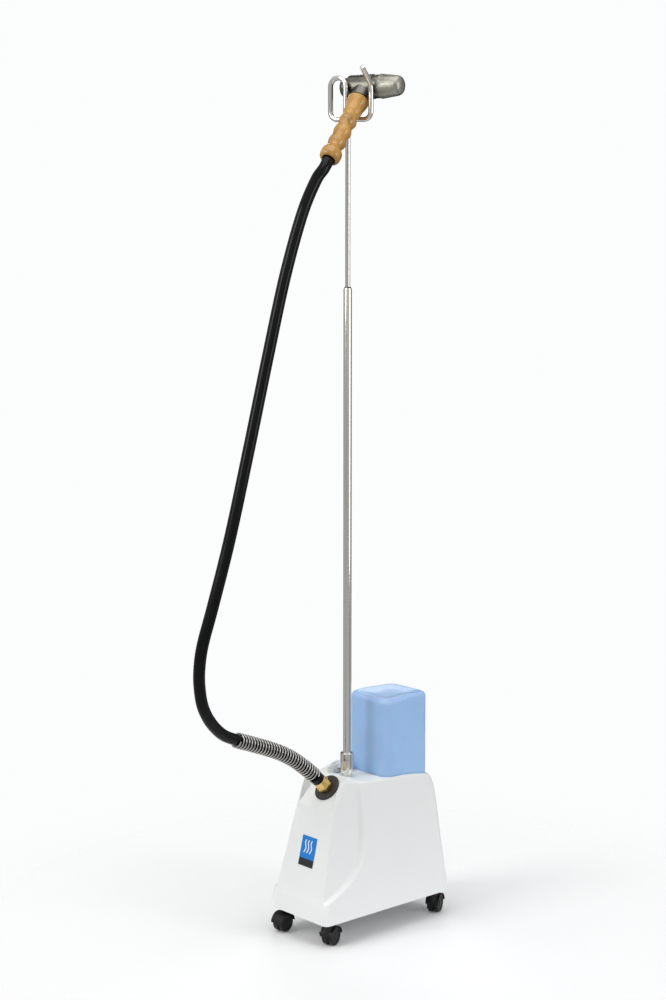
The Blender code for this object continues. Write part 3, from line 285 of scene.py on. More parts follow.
def gloss(nodes, links, shader, noise, low, high):
    """Roughness from the pattern."""
    span = nodes.new("ShaderNodeMapRange")
    span.inputs["From Min"].default_value = 0.3
    span.inputs["From Max"].default_value = 0.7
    span.inputs["To Min"].default_value = low
    span.inputs["To Max"].default_value = high
    links.new(noise.outputs["Fac"], span.inputs["Value"])
    links.new(span.outputs["Result"], shader.inputs["Roughness"])


def bump(nodes, links, shader, noise, depth, strength=1.0):
    made = nodes.new("ShaderNodeBump")
    made.inputs["Strength"].default_value = strength
    made.inputs["Distance"].default_value = depth
    links.new(noise.outputs["Fac"], made.inputs["Height"])
    links.new(made.outputs["Normal"], shader.inputs["Normal"])


def shade(colour, share):
    return tuple(min(channel * share, 1) for channel in colour)


def mottled(name, colour, roughness, metallic=0.0, spread=0.06, scale=40, stretch=(1, 1, 1), gloss_span=0.06,
            bump_scale=600, bump_depth=0.00002, **sockets):
    """A surface with a slight change of colour and gloss over it and a fine grain."""
    mat, nodes, links, shader = surface(name, colour, roughness, metallic)
    broad = pattern(nodes, links, scale, 4, stretch, 0.3)
    dark, light = shade(colour, 1 - spread), shade(colour, 1 + spread * 0.6)
    tint(nodes, links, shader, broad, [(0.25, dark), (0.5, colour), (0.75, light)])
    gloss(nodes, links, shader, broad, roughness - gloss_span / 2, roughness + gloss_span / 2)
    grain = pattern(nodes, links, bump_scale, 2, stretch)
    bump(nodes, links, shader, grain, bump_depth)
    for socket, value in sockets.items():
        shader.inputs[socket.replace("_", " ")].default_value = value
    return mat


def label_material():
    """A blue printed plate with three rising steam lines and a plain dark band along its foot."""
    mat, nodes, links, shader = surface("label_print", (0.01, 0.17, 0.62), 0.30)
    coords = nodes.new("ShaderNodeTexCoord")
    split = nodes.new("ShaderNodeSeparateXYZ")
    links.new(coords.outputs["Generated"], split.inputs[0])

    def math_node(kind, a, b=None, c=None):
        node = nodes.new("ShaderNodeMath")
        node.operation = kind
        for socket, value in zip(node.inputs, (a, b, c)):
            if value is None:
                continue
            if isinstance(value, (int, float)):
                socket.default_value = value
            else:
                links.new(value, socket)
        return node.outputs[0]

    x, y = split.outputs["X"], split.outputs["Y"]
    wave = math_node("MULTIPLY", math_node("SINE", math_node("MULTIPLY", y, 19.0)), 0.045)
    shifted = math_node("ADD", x, wave)
    lines = None
    for centre in (0.30, 0.50, 0.70):
        near = math_node("LESS_THAN", math_node("ABSOLUTE", math_node("SUBTRACT", shifted, centre)), 0.030)
        lines = near if lines is None else math_node("MAXIMUM", lines, near)
    inside = math_node("MULTIPLY", math_node("GREATER_THAN", y, 0.42), math_node("LESS_THAN", y, 0.84))
    lines = math_node("MULTIPLY", lines, inside)
    low = math_node("LESS_THAN", y, 0.24)
    rim = math_node("GREATER_THAN", y, 0.955)

    def mix(factor, a, b):
        node = nodes.new("ShaderNodeMix")
        node.data_type = "RGBA"
        links.new(factor, node.inputs["Factor"])
        for socket, value in ((node.inputs[6], a), (node.inputs[7], b)):
            if isinstance(value, tuple):
                socket.default_value = (*value, 1)
            else:
                links.new(value, socket)
        return node.outputs[2]

    colour = mix(lines, (0.002, 0.190, 0.600), (0.86, 0.90, 0.94))
    colour = mix(low, colour, (0.012, 0.013, 0.016))
    colour = mix(rim, colour, (0.002, 0.100, 0.480))
    links.new(colour, shader.inputs["Base Color"])
    return mat


def materials():
    made = {
        "housing_white": mottled("moulded_white", (0.800, 0.818, 0.812), 0.33, spread=0.012, scale=9,
                                 bump_scale=900, bump_depth=0.000012, Coat_Weight=0.15),
        "black_plastic": mottled("black_moulding", (0.006, 0.006, 0.0065), 0.42, spread=0.3, scale=60,
                                 bump_scale=1400, bump_depth=0.00003, Specular_IOR_Level=0.28),
        "grey_plastic": mottled("grey_moulding", (0.25, 0.25, 0.26), 0.50, scale=60),
        "bottle_blue": mottled("blue_polyethylene", (0.350, 0.545, 0.840), 0.33, spread=0.05, scale=14,
                               bump_scale=260, bump_depth=0.00003, Subsurface_Weight=0.55,
                               Subsurface_Scale=0.02, Coat_Weight=0.05),
        "handle_amber": mottled("amber_handle", (0.460, 0.235, 0.045), 0.24, spread=0.46, scale=34,
                                stretch=(1, 1, 0.6), bump_scale=500, bump_depth=0.00003, Coat_Weight=0.25),
        "cast_aluminium": mottled("cast_aluminium", (0.150, 0.145, 0.125), 0.32, 1.0, spread=0.30, scale=55,
                                  gloss_span=0.16, bump_scale=700, bump_depth=0.00008),
        "blasted_aluminium": mottled("blasted_aluminium", (0.360, 0.360, 0.310), 0.42, 1.0, spread=0.35, scale=70,
                                     gloss_span=0.12, bump_scale=1100, bump_depth=0.00012),
        "nickel": mottled("bright_nickel", (0.74, 0.72, 0.68), 0.12, 1.0, spread=0.03, scale=20,
                          stretch=(1, 1, 0.1), gloss_span=0.03, bump_scale=120, bump_depth=0.000001),
        "brass": mottled("machined_brass", (0.80, 0.56, 0.20), 0.24, 1.0, spread=0.12, scale=70,
                         gloss_span=0.12, bump_scale=800, bump_depth=0.00002),
        "steel": mottled("plain_steel", (0.52, 0.52, 0.53), 0.35, 1.0, spread=0.08, scale=40),
        "rubber_black": mottled("black_rubber", (0.0035, 0.0035, 0.0040), 0.14, spread=0.3, scale=30,
                                gloss_span=0.01, bump_scale=240, bump_depth=0.000008, Specular_IOR_Level=0.16),
        "guard_steel": mottled("spring_wire", (0.46, 0.45, 0.43), 0.18, 1.0, spread=0.10, scale=60,
                               bump_scale=300, bump_depth=0.000004),
        "flange_rubber": mottled("flange_rubber", (0.024, 0.019, 0.017), 0.45, spread=0.3, scale=90),
        "switch_white": mottled("white_rocker", (0.72, 0.73, 0.71), 0.25, spread=0.02),
        "label_blue": label_material(),
    }
    return made


# ---------------------------------------------------------------- making pieces

MATERIALS = materials()


def piece(name, mesh, mat, body, replaced=(), shift=True, sharp=32):
    """Adds a finished mesh, given about the base's middle plane, as a piece on a body."""
    if isinstance(mesh, bmesh.types.BMesh):
        data = bpy.data.meshes.new(name)
        mesh.to_mesh(data)
        mesh.free()
        mesh = data
    if shift:
        mesh.transform(Matrix.Translation((CENTRE_X, 0, 0)))
    mesh.shade_smooth()
    mesh.set_sharp_from_angle(angle=math.radians(sharp))
    obj = bpy.data.objects.new(name, mesh)
    bpy.context.scene.collection.objects.link(obj)
    mesh.materials.clear()
    mesh.materials.append(MATERIALS[mat])
    if body:
        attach(obj, body)
    if replaced:
        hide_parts(*replaced)
    return obj


def aimed(where, direction, spin=0.0):
    turn = UP.rotation_difference(Vector(direction)).to_matrix().to_4x4()
    return Matrix.Translation(Vector(where)) @ turn @ Matrix.Rotation(spin, 4, "Z")


def fillet(profile, radius, steps=4):
    """The profile with each corner rounded."""
    closed = profile[0] == profile[-1]
    points = [Vector(p) for p in (profile[:-1] if closed else profile)]
    found = []
    for n, here in enumerate(points):
        if not closed and n in (0, len(points) - 1):
            found.append(here)
            continue
        before, after = points[n - 1] - here, points[(n + 1) % len(points)] - here
        if before.length < 1e-6 or after.length < 1e-6:
            continue
        reach = min(radius, before.length * 0.45, after.length * 0.45)
        a, b = here + before.normalized() * reach, here + after.normalized() * reach
        if before.angle(after) > math.radians(160):
            found.append(here)
            continue
        for k in range(steps + 1):
            t = k / steps
            found.append(a * (1 - t) ** 2 + here * 2 * t * (1 - t) + b * t * t)
    if closed:
        found.append(found[0])
    return [(p.x, p.y) for p in found]


def lathe(profile, where, direction=UP, steps=64, wobble=None):
    """A bmesh of (radius, z) points turned about Z and then aimed. wobble changes a radius by angle and height."""
    mesh = bmesh.new()
    closed = profile[0] == profile[-1]
    points = profile[:-1] if closed else profile
    rows = []
    for r, z in points:
        if r < 1e-6:
            rows.append([mesh.verts.new((0, 0, z))])
            continue
        row = []
        for n in range(steps):
            a = 2 * math.pi * n / steps
            reach = r + (wobble(a, r, z) if wobble else 0)
            row.append(mesh.verts.new((reach * math.cos(a), reach * math.sin(a), z)))
        rows.append(row)
    pairs = list(zip(rows, rows[1:])) + ([(rows[-1], rows[0])] if closed else [])
    for low, high in pairs:
        for n in range(steps):
            m = (n + 1) % steps
            face = [low[n % len(low)], low[m % len(low)], high[m % len(high)], high[n % len(high)]]
            unique = list(dict.fromkeys(face))
            if len(unique) > 2:
                mesh.faces.new(unique)
    bmesh.ops.recalc_face_normals(mesh, faces=mesh.faces)
    mesh.transform(aimed(where, direction))
    return mesh


def catmull(points, per_span):
    """A smooth curve's points through the given ones."""
    knots = [Vector(p) for p in points]
    knots = [2 * knots[0] - knots[1], *knots, 2 * knots[-1] - knots[-2]]
    found = []
    for a, b, c, d in zip(knots, knots[1:], knots[2:], knots[3:]):
        for n in range(per_span):
            t = n / per_span
            found.append(0.5 * (2 * b + (c - a) * t + (2 * a - 5 * b + 4 * c - d) * t * t
                                + (3 * b - a - 3 * c + d) * t ** 3))
    found.append(knots[-2])
    return found


def resampled(dense, step):
    lengths = [0.0]
    for a, b in zip(dense, dense[1:]):
        lengths.append(lengths[-1] + (b - a).length)
    count = max(2, round(lengths[-1] / step))
    found, n = [], 0
    for k in range(count + 1):
        target = lengths[-1] * k / count
        while n < len(lengths) - 2 and lengths[n + 1] < target:
            n += 1
        share = (target - lengths[n]) / max(lengths[n + 1] - lengths[n], 1e-9)
        found.append(dense[n].lerp(dense[n + 1], min(share, 1)))
    return found


def tube(points, radius, sides=20, closed_ends=True, radius_at=None):
    """A bmesh tube along points, with parallel-carried rings."""
    mesh = bmesh.new()
    ahead = (points[1] - points[0]).normalized()
    across = ahead.orthogonal().normalized()
    rows = []
    for n, point in enumerate(points):
        low, high = points[max(n - 1, 0)], points[min(n + 1, len(points) - 1)]
        direction = (high - low).normalized()
        across = (across - direction * across.dot(direction)).normalized()
        up = direction.cross(across)
        r = radius_at(n) if radius_at else radius
        rows.append([mesh.verts.new(point + (across * math.cos(a) + up * math.sin(a)) * r)
                     for a in (2 * math.pi * k / sides for k in range(sides))])
    for low, high in zip(rows, rows[1:]):
        for n in range(sides):
            m = (n + 1) % sides
            mesh.faces.new((low[n], low[m], high[m], high[n]))
    if closed_ends:
        mesh.faces.new(list(reversed(rows[0])))
        mesh.faces.new(rows[-1])
    return mesh


def block(size, where, direction=UP, spin=0.0):
    mesh = bmesh.new()
    bmesh.ops.create_cube(mesh, size=1, matrix=aimed(where, direction, spin) @ Matrix.Diagonal((*size, 1)))
    return mesh


def rod(radius, length, where, direction=UP, sides=64, spin=0.0, top=None):
    mesh = bmesh.new()
    bmesh.ops.create_cone(mesh, cap_ends=True, segments=sides, radius1=radius,
                          radius2=radius if top is None else top, depth=length,
                          matrix=aimed(where, direction, spin))
    return mesh


def as_object(mesh):
    data = bpy.data.meshes.new("work")
    mesh.to_mesh(data)
    mesh.free()
    obj = bpy.data.objects.new("work", data)
    bpy.context.scene.collection.objects.link(obj)
    return obj


def combined(first, *steps, bevel=0.0, segments=3, angle=30):
    """The mesh left after Boolean steps of (operation, bmesh), with its sharp edges rounded."""
    obj = as_object(first)
    others = []
    for operation, mesh in steps:
        other = as_object(mesh)
        others.append(other)
        modifier = obj.modifiers.new("step", "BOOLEAN")
        modifier.operation = operation
        modifier.object = other
        modifier.solver = "EXACT"
    if bevel:
        edge = obj.modifiers.new("edges", "BEVEL")
        edge.width = bevel
        edge.segments = segments
        edge.limit_method = "ANGLE"
        edge.angle_limit = math.radians(angle)
        edge.harden_normals = False
    bpy.context.view_layer.update()
    graph = bpy.context.evaluated_depsgraph_get()
    data = bpy.data.meshes.new_from_object(obj.evaluated_get(graph))
    for item in [obj, *others]:
        bpy.data.objects.remove(item)
    return data


def smoothstep(low, high, value):
    t = min(max((value - low) / (high - low), 0), 1)
    return t * t * (3 - 2 * t)


studio()

# ---------------------------------------------------------------- housing

def smooth_pairs(pairs, per_span):
    return [(p.x, p.y) for p in catmull([(a, b, 0) for a, b in pairs], per_span)]


def proud_half_width(z):
    return BASE_WIDTH / 2 - SIDE_TAPER * (z - HOUSING_BOTTOM)


def recess(y, z, inset):
    """How far the side is set back in front of the crease. The wall's inner face steps a little further back."""
    drop = max(CREASE_TOP[1] - z, 0) / CREASE_DROP
    crease = CREASE_TOP[0] - CREASE_SWEEP * drop ** CREASE_POWER + 2 * inset
    depth = RECESS_DEPTH * (1 - 0.5 * smoothstep(0.20, CREASE_TOP[1], z))
    return depth * smoothstep(0, CREASE_BLEND, crease - y)


def housing_ring(front, rear, share_up, rim, inset, per_corner, per_side):
    """One closed ring of the housing. share_up runs from 0 at the bottom to 1 at the rim."""
    middle = (front[1] + rear[1]) / 2
    half = proud_half_width(middle) - inset - rim
    radius = max(CORNER_RADIUS - inset, 0.004)
    y0, y1 = front[0] + inset, rear[0] - inset
    right = [(half - radius, y0, 0.0)]
    for n in range(1, per_corner + 1):
        a = -math.pi / 2 + n * math.pi / 2 / per_corner
        right.append((half - radius + radius * math.cos(a), y0 + radius + radius * math.sin(a), math.cos(a)))
    for n in range(1, per_side):
        right.append((half, y0 + radius + (y1 - y0 - 2 * radius) * n / per_side, 1.0))
    for n in range(per_corner + 1):
        a = n * math.pi / 2 / per_corner
        right.append((half - radius + radius * math.cos(a), y1 - radius + radius * math.sin(a), math.cos(a)))
    ring = []
    for x, y, nx in right + [(-x, y, -nx) for x, y, nx in reversed(right)]:
        share = (y - y0) / (y1 - y0)
        z = front[1] + (rear[1] - front[1]) * share
        z -= DECK_WAVE * math.sin(2 * math.pi * share) * share_up ** 2
        side = proud_half_width(z) - proud_half_width(middle) - recess(y, z, inset)
        ring.append(Vector((x + nx * side, y, z - (inset if share_up == 1 else 0))))
    return ring


def housing_form(inset, per_corner, per_side, per_span):
    fronts, rears = smooth_pairs(FRONT_EDGE, per_span), smooth_pairs(REAR_EDGE, per_span)
    mesh = bmesh.new()
    count = len(fronts)
    rows = []
    for n in range(count):
        share = n / (count - 1)
        past = max(0.0, n - (count - 1 - per_span)) / per_span
        rim = RIM_ROUND * (1 - math.sqrt(max(0.0, 1 - past ** 2)))
        ring = housing_ring(fronts[n], rears[n], share, rim, inset, per_corner, per_side)
        if inset and n == 0:
            ring = [Vector((p.x, p.y, HOUSING_BOTTOM - 0.01)) for p in ring]
        rows.append([mesh.verts.new(p) for p in ring])
    size = len(rows[0])
    for low, high in zip(rows, rows[1:]):
        for n in range(size):
            mesh.faces.new((low[n], low[(n + 1) % size], high[(n + 1) % size], high[n]))
    for row in (rows[0], rows[-1]):
        for n in range(size // 2 - 1):
            mesh.faces.new((row[n], row[n + 1], row[size - 2 - n], row[size - 1 - n]))
    bmesh.ops.recalc_face_normals(mesh, faces=mesh.faces)
    return mesh


def rounded_box_ring(z, inset, corner, steps=96):
    """The bottle's outline at a height, as points at even turns about its middle."""
    half_x, half_y = BOTTLE_HALF_WIDTH - inset, (BOTTLE_REAR - BOTTLE_FRONT) / 2 - inset
    points = []
    for n in range(steps):
        a = 2 * math.pi * (n + 0.5) / steps
        c, s = abs(math.cos(a)), abs(math.sin(a))
        reach = min(half_x / max(c, 1e-9), half_y / max(s, 1e-9))
        cx, cy = half_x - corner, half_y - corner
        if c * reach > cx and s * reach > cy:
            reach = cx * c + cy * s + math.sqrt(max(corner ** 2 - (cx * s - cy * c) ** 2, 0))
        points.append(BOTTLE + Vector((reach * math.cos(a), reach * math.sin(a), z)))
    return points


def skin(mesh, rings, cap_first=False, cap_last=False):
    rows = [[mesh.verts.new(p) for p in ring] for ring in rings]
    size = len(rows[0])
    for low, high in zip(rows, rows[1:]):
        for n in range(size):
            mesh.faces.new((low[n], low[(n + 1) % size], high[(n + 1) % size], high[n]))
    if cap_first:
        mesh.faces.new(rows[0])
    if cap_last:
        mesh.faces.new(rows[-1])
    return rows


def well_form():
    mesh = bmesh.new()
    skin(mesh, [rounded_box_ring(z, -0.0015, BOTTLE_CORNER + 0.0015) for z in (0.262, 0.35)], True, True)
    bmesh.ops.recalc_face_normals(mesh, faces=mesh.faces)
    return mesh


def switch_pod():
    """A low rounded box whose top face holds the switch."""
    mesh = bmesh.new()
    bmesh.ops.create_cube(mesh, size=1)
    slope_x, slope_y = POD_NORMAL.x / POD_NORMAL.z, POD_NORMAL.y / POD_NORMAL.z
    for vert in mesh.verts:
        raised = vert.co.z > 0
        draft = 0.0025 if raised else 0.0
        x = POD_X[1] - draft if vert.co.x > 0 else POD_X[0] + draft
        y = POD_Y[1] - draft if vert.co.y > 0 else POD_Y[0] + draft
        lift = (SWITCH_AT.x - x) * slope_x + (SWITCH_AT.y - y) * slope_y
        vert.co = (x, y, SWITCH_AT.z + lift if raised else POD_BOTTOM)
    rounded = bmesh.new()
    rounded.from_mesh(combined(mesh, bevel=POD_ROUND, segments=6))
    return rounded


def make_housing():
    depth = 0.08
    inner = combined(
        housing_form(WALL, 10, 80, 6),
        ("DIFFERENCE", block((0.2, 0.2, depth), OUTLET + OUTLET_DIR * (depth / 2 - WALL), OUTLET_DIR)))
    inner_mesh = bmesh.new()
    inner_mesh.from_mesh(inner)
    shell = combined(
        housing_form(0, 10, 110, 12),
        ("DIFFERENCE", block((2 * NOTCH_HALF_WIDTH, 0.16, depth), OUTLET + OUTLET_DIR * depth / 2, OUTLET_DIR)),
        ("UNION", switch_pod()),
        ("DIFFERENCE", well_form()),
        ("DIFFERENCE", inner_mesh),
        ("DIFFERENCE", rod(0.0115, 0.03, OUTLET, OUTLET_DIR, 32)),
        ("DIFFERENCE", rod(0.0095, 0.06, (0, POLE_Y, 0.31), UP, 32)),
        ("DIFFERENCE", block((0.0150, 0.0265, 0.04), SWITCH_AT, POD_NORMAL)),
        ("DIFFERENCE", rod(0.0085, 0.04, GLAND_AT, REAR_NORMAL, 24)),
        bevel=0.0011, segments=3, angle=38)
    piece("housing_shell", shell, "housing_white", "base", ("housing",), sharp=40)


# ---------------------------------------------------------------- bottle

def make_bottle():
    """The inverted bottle: soft shoulders, a slightly swept base on top, and a neck that goes into its cap."""
    top = BOTTLE_TOP
    centre = BOTTLE + Vector((0, 0, top))

    def towards(ring, share, z_lift):
        return [Vector((centre.x + (p.x - centre.x) * share, centre.y + (p.y - centre.y) * share, p.z + z_lift))
                for p in ring]

    rim = rounded_box_ring(top, 0, BOTTLE_CORNER)
    rings = [towards(rim, share, lift) for share, lift in (
        (0.02, -0.0055), (0.20, -0.0054), (0.38, -0.0050), (0.52, -0.0040), (0.64, -0.0022), (0.74, -0.0008),
        (0.82, -0.0002), (0.88, -0.0004))]
    for n in range(7):
        a = math.pi / 2 * n / 6
        inset = 0.0075 * (1 - math.sin(a))
        rings.append(rounded_box_ring(top - 0.0012 - 0.0085 * (1 - math.cos(a)), inset, BOTTLE_CORNER - inset))
    for z in (0.435, 0.40, 0.36, 0.32, 0.29, 0.274):
        rings.append(rounded_box_ring(z, 0, BOTTLE_CORNER))
    shoulder = rounded_box_ring(BOTTLE_SHOULDER, 0, BOTTLE_CORNER)
    for share, drop in ((0.96, 0.0015), (0.86, 0.0065), (0.70, 0.0115), (0.54, 0.0155), (0.42, 0.0185)):
        rings.append(towards(shoulder, share, -drop))
    for z in (BOTTLE_SHOULDER - 0.0210, BOTTLE_SHOULDER - 0.0240, CAP_BOTTOM + 0.0062):
        size = len(rim)
        rings.append([BOTTLE + Vector((NECK_RADIUS * math.cos(a), NECK_RADIUS * math.sin(a), z))
                      for a in (2 * math.pi * (n + 0.5) / size for n in range(size))])
    mesh = bmesh.new()
    skin(mesh, rings, True, True)
    for vert in mesh.verts:
        vert.co.z += swept_top(vert.co)
    bmesh.ops.recalc_face_normals(mesh, faces=mesh.faces)
    piece("bottle_body", mesh, "bottle_blue", "bottle_unit", ("bottle",), sharp=60)


def swept_top(p):
    """The bottle's base isn't flat: it swells along its long sides and dips towards the front."""
    weight = smoothstep(BOTTLE_TOP - 0.045, BOTTLE_TOP - 0.006, p.z)
    across = (p.x - BOTTLE.x) / BOTTLE_HALF_WIDTH
    along = (p.y - BOTTLE.y) / (BOTTLE_REAR - BOTTLE.y)
    return weight * (0.0016 * math.sin(math.pi * 0.9 * along) * across - 0.0012 * along * along - 0.0006)


def make_cap():
    radius, low, high = 0.0235, CAP_BOTTOM, CAP_BOTTOM + 0.018
    profile = fillet([(radius - 0.0002, high), (radius, low), (0.0060, low), (0.0060, low + 0.003),
                      (NECK_RADIUS + 0.0003, low + 0.003), (NECK_RADIUS + 0.0003, high), (radius - 0.0002, high)],
                     0.0012)

    def ribs(angle, r, z):
        return -0.0004 * (0.5 + 0.5 * math.cos(angle * 32)) if r > radius - 0.002 and low + 0.002 < z else 0

    piece("cap_shell", lathe(profile, BOTTLE, UP, 192, ribs), "black_plastic", "bottle_unit", ("bottle_cap",))


# ---------------------------------------------------------------- outlet, hose and guard

def hook_point(along_hook, forward, z):
    return POLE + UP * z + HOOK_ALONG * along_hook + HOOK_FORWARD * forward


def handle_point(distance):
    return hook_point(HANDLE_ALONG, -HEAD_BACK, HEAD_Z) + HANDLE_DIR * distance


def hose_points():
    """The hose's own points, and those of its two parts."""
    route = [OUTLET + OUTLET_DIR * HOSE_START, *(Vector(p) for p in HOSE_ROUTE),
             handle_point(HANDLE_END + 0.022), handle_point(HANDLE_END - 0.004), handle_point(HANDLE_END - 0.030)]
    dense = catmull(route, 24)
    coarse = resampled(dense, HOSE_STEP)
    split = round((len(coarse) - 1) * HOSE_SPLIT)
    fine = resampled(dense, HOSE_STEP / 8)
    at = min(range(len(fine)), key=lambda n: (fine[n] - coarse[split]).length)
    return fine, fine[:at + 1], fine[at:]


def make_hose():
    whole, lower, upper = hose_points()
    low_piece = piece("hose_tube_low", tube(lower, HOSE_RADIUS, 32), "rubber_black", None,
                      ("hose_lower",), sharp=60)
    high_piece = piece("hose_tube_high", tube(upper, HOSE_RADIUS, 32), "rubber_black", None, ("hose_upper",),
                       sharp=60)
    guard = make_guard(whole)
    cuff = make_cuff(whole)
    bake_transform(low_piece)
    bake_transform(high_piece)


def along(points, distance):
    for a, b in zip(points, points[1:]):
        step = (b - a).length
        if distance <= step:
            return a.lerp(b, distance / step), (b - a) / step
        distance -= step
    return points[-1], (points[-1] - points[-2]).normalized()


def make_guard(whole):
    per_turn = 28
    start = CUFF_END + 0.0021 - HOSE_START
    points = []
    for n in range(GUARD_TURNS * per_turn + 1):
        centre, ahead = along(whole, start + GUARD_LENGTH * n / (GUARD_TURNS * per_turn))
        across = Vector((1, 0, 0))
        across = (across - ahead * across.dot(ahead)).normalized()
        up = ahead.cross(across)
        a = 2 * math.pi * n / per_turn
        points.append(centre + (across * math.cos(a) + up * math.sin(a)) * (HOSE_RADIUS + GUARD_WIRE + 0.0008))
    return piece("guard_coil", tube(points, GUARD_WIRE, 10), "guard_steel", "base", ("spring_guard",), sharp=60)


def make_cuff(whole):
    near = lathe(fillet([(0.0134, 0.0460), (0.0134, 0.0323), (0.0116, 0.0323), (0.0116, 0.0460), (0.0134, 0.0460)],
                        0.0010), OUTLET, OUTLET_DIR)
    return [piece("cuff_ring", near, "rubber_black", "base", ("hose_cuff",))]


def make_outlet():
    r = FLANGE_RADIUS
    flange = lathe(fillet([(0.0090, 0.0052), (r * 0.90, 0.0040), (r, 0.0020), (r, 0.0), (0.0090, 0.0),
                           (0.0090, 0.0052)], 0.0010), OUTLET + OUTLET_DIR * 0.0003, OUTLET_DIR, 96)
    piece("flange_disc", flange, "flange_rubber", "base", ("outlet_flange",))
    d = OUTLET_DIR
    body = rod(0.0158, 0.0130, OUTLET + d * 0.0127, d, 6)
    crown = lathe(fillet([(0, 0.0075), (0.0136, 0.0075), (0.0166, 0.0040), (0.0166, -0.0040), (0.0136, -0.0075),
                          (0, -0.0075)], 0.0006), OUTLET + d * 0.0127, d, 64)
    nut = combined(body, ("INTERSECT", crown),
                   ("UNION", rod(0.0085, 0.014, OUTLET + d * 0.0022, d, 48)),
                   ("UNION", rod(0.0136, 0.0140, OUTLET + d * 0.0250, d, 48)),
                   ("DIFFERENCE", rod(0.0066, 0.080, OUTLET + d * 0.010, d, 32)), bevel=0.0005, angle=25)
    piece("union_nut", nut, "brass", "base", ("outlet_nut",))


# ---------------------------------------------------------------- pole and hook

def make_pole():
    r = SOCKET_RADIUS
    profile = fillet([(r, SOCKET_TOP), (r, 0.3125), (0.0093, 0.3125), (0.0093, 0.268), (0.001, 0.268),
                      (0.001, 0.2695), (POLE_RADIUS + 0.0003, 0.2695), (POLE_RADIUS + 0.0003, SOCKET_TOP),
                      (r, SOCKET_TOP)], 0.0008)
    slit = block((0.0016, 0.02, 0.034), (-0.004, POLE_Y - 0.012, SOCKET_TOP - 0.0145), UP, math.radians(-14))
    where = SOCKET_RADIUS * 0.72
    pin = rod(0.0028, 0.012, (where, POLE_Y - where, 0.3400), (1, -1, 0), 32)
    socket = combined(lathe(profile, POLE, UP, 96), ("DIFFERENCE", slit), ("DIFFERENCE", pin))
    piece("socket_sleeve", socket, "nickel", "base", ("pole_socket",), sharp=30)
    bore = POLE_RADIUS - 0.0012
    shape = [(bore, POLE_TOP), (POLE_RADIUS - 0.0011, POLE_TOP), (POLE_RADIUS - 0.0008, POLE_TOP - 0.0008),
             (POLE_RADIUS, POLE_TOP - 0.0040), (POLE_RADIUS, POLE_BOTTOM), (bore, POLE_BOTTOM), (bore, POLE_TOP)]
    piece("pole_tube", lathe(shape, POLE, UP, 64), "nickel", "base", ("lower_pole",), sharp=45)


def arc(centre, radius, start, end, steps, forward, forward_end=None):
    forward_end = forward if forward_end is None else forward_end
    found = []
    for n in range(steps + 1):
        a = math.radians(start + (end - start) * n / steps)
        found.append((centre[0] + radius * math.cos(a), forward + (forward_end - forward) * n / steps,
                      centre[1] + radius * math.sin(a)))
    return found


def make_hook():
    bend, loop, low = 0.014, (HOOK_MIDDLE - HOOK_LEFT) / 2, HOOK_LOW
    route = [(0, 0, ROD_BOTTOM), (0, 0, low - bend)]
    route += arc((-bend, low - bend), bend, 5, 90, 12, 0)
    route += arc((HOOK_LEFT + bend, low + bend), bend, 270, 180, 14, 0)
    route += arc(((HOOK_LEFT + HOOK_MIDDLE) / 2, HOOK_TOP - loop), loop, 180, 0, 30, 0, HOOK_LAYER)
    route += arc((HOOK_MIDDLE + bend, low + bend), bend, 180, 270, 14, HOOK_LAYER)
    route += arc((HOOK_RIGHT - bend, low + bend), bend, 270, 360, 14, HOOK_LAYER)
    flare = [(HOOK_RIGHT, HOOK_LAYER, 1.606), (HOOK_RIGHT, HOOK_LAYER, 1.620),
             (HOOK_RIGHT, HOOK_LAYER + 0.002, 1.629), (HOOK_RIGHT, HOOK_LAYER + 0.008, 1.637),
             (HOOK_RIGHT + 0.0005, HOOK_LAYER + 0.020, 1.6485), (HOOK_RIGHT + 0.001, HOOK_LAYER + 0.034, 1.661)]
    route += [tuple(p) for p in catmull(flare, 6)]
    points = [hook_point(*p) for p in route]
    points = [p for n, p in enumerate(points) if n == 0 or (p - points[n - 1]).length > 0.0004]
    wire = tube(points, ROD_RADIUS, 28)
    data = combined(wire, bevel=0.0006, segments=3, angle=60)
    piece("hook_wire", data, "nickel", "upper_rod", ("hook_rod",), sharp=50)


# ---------------------------------------------------------------- handset

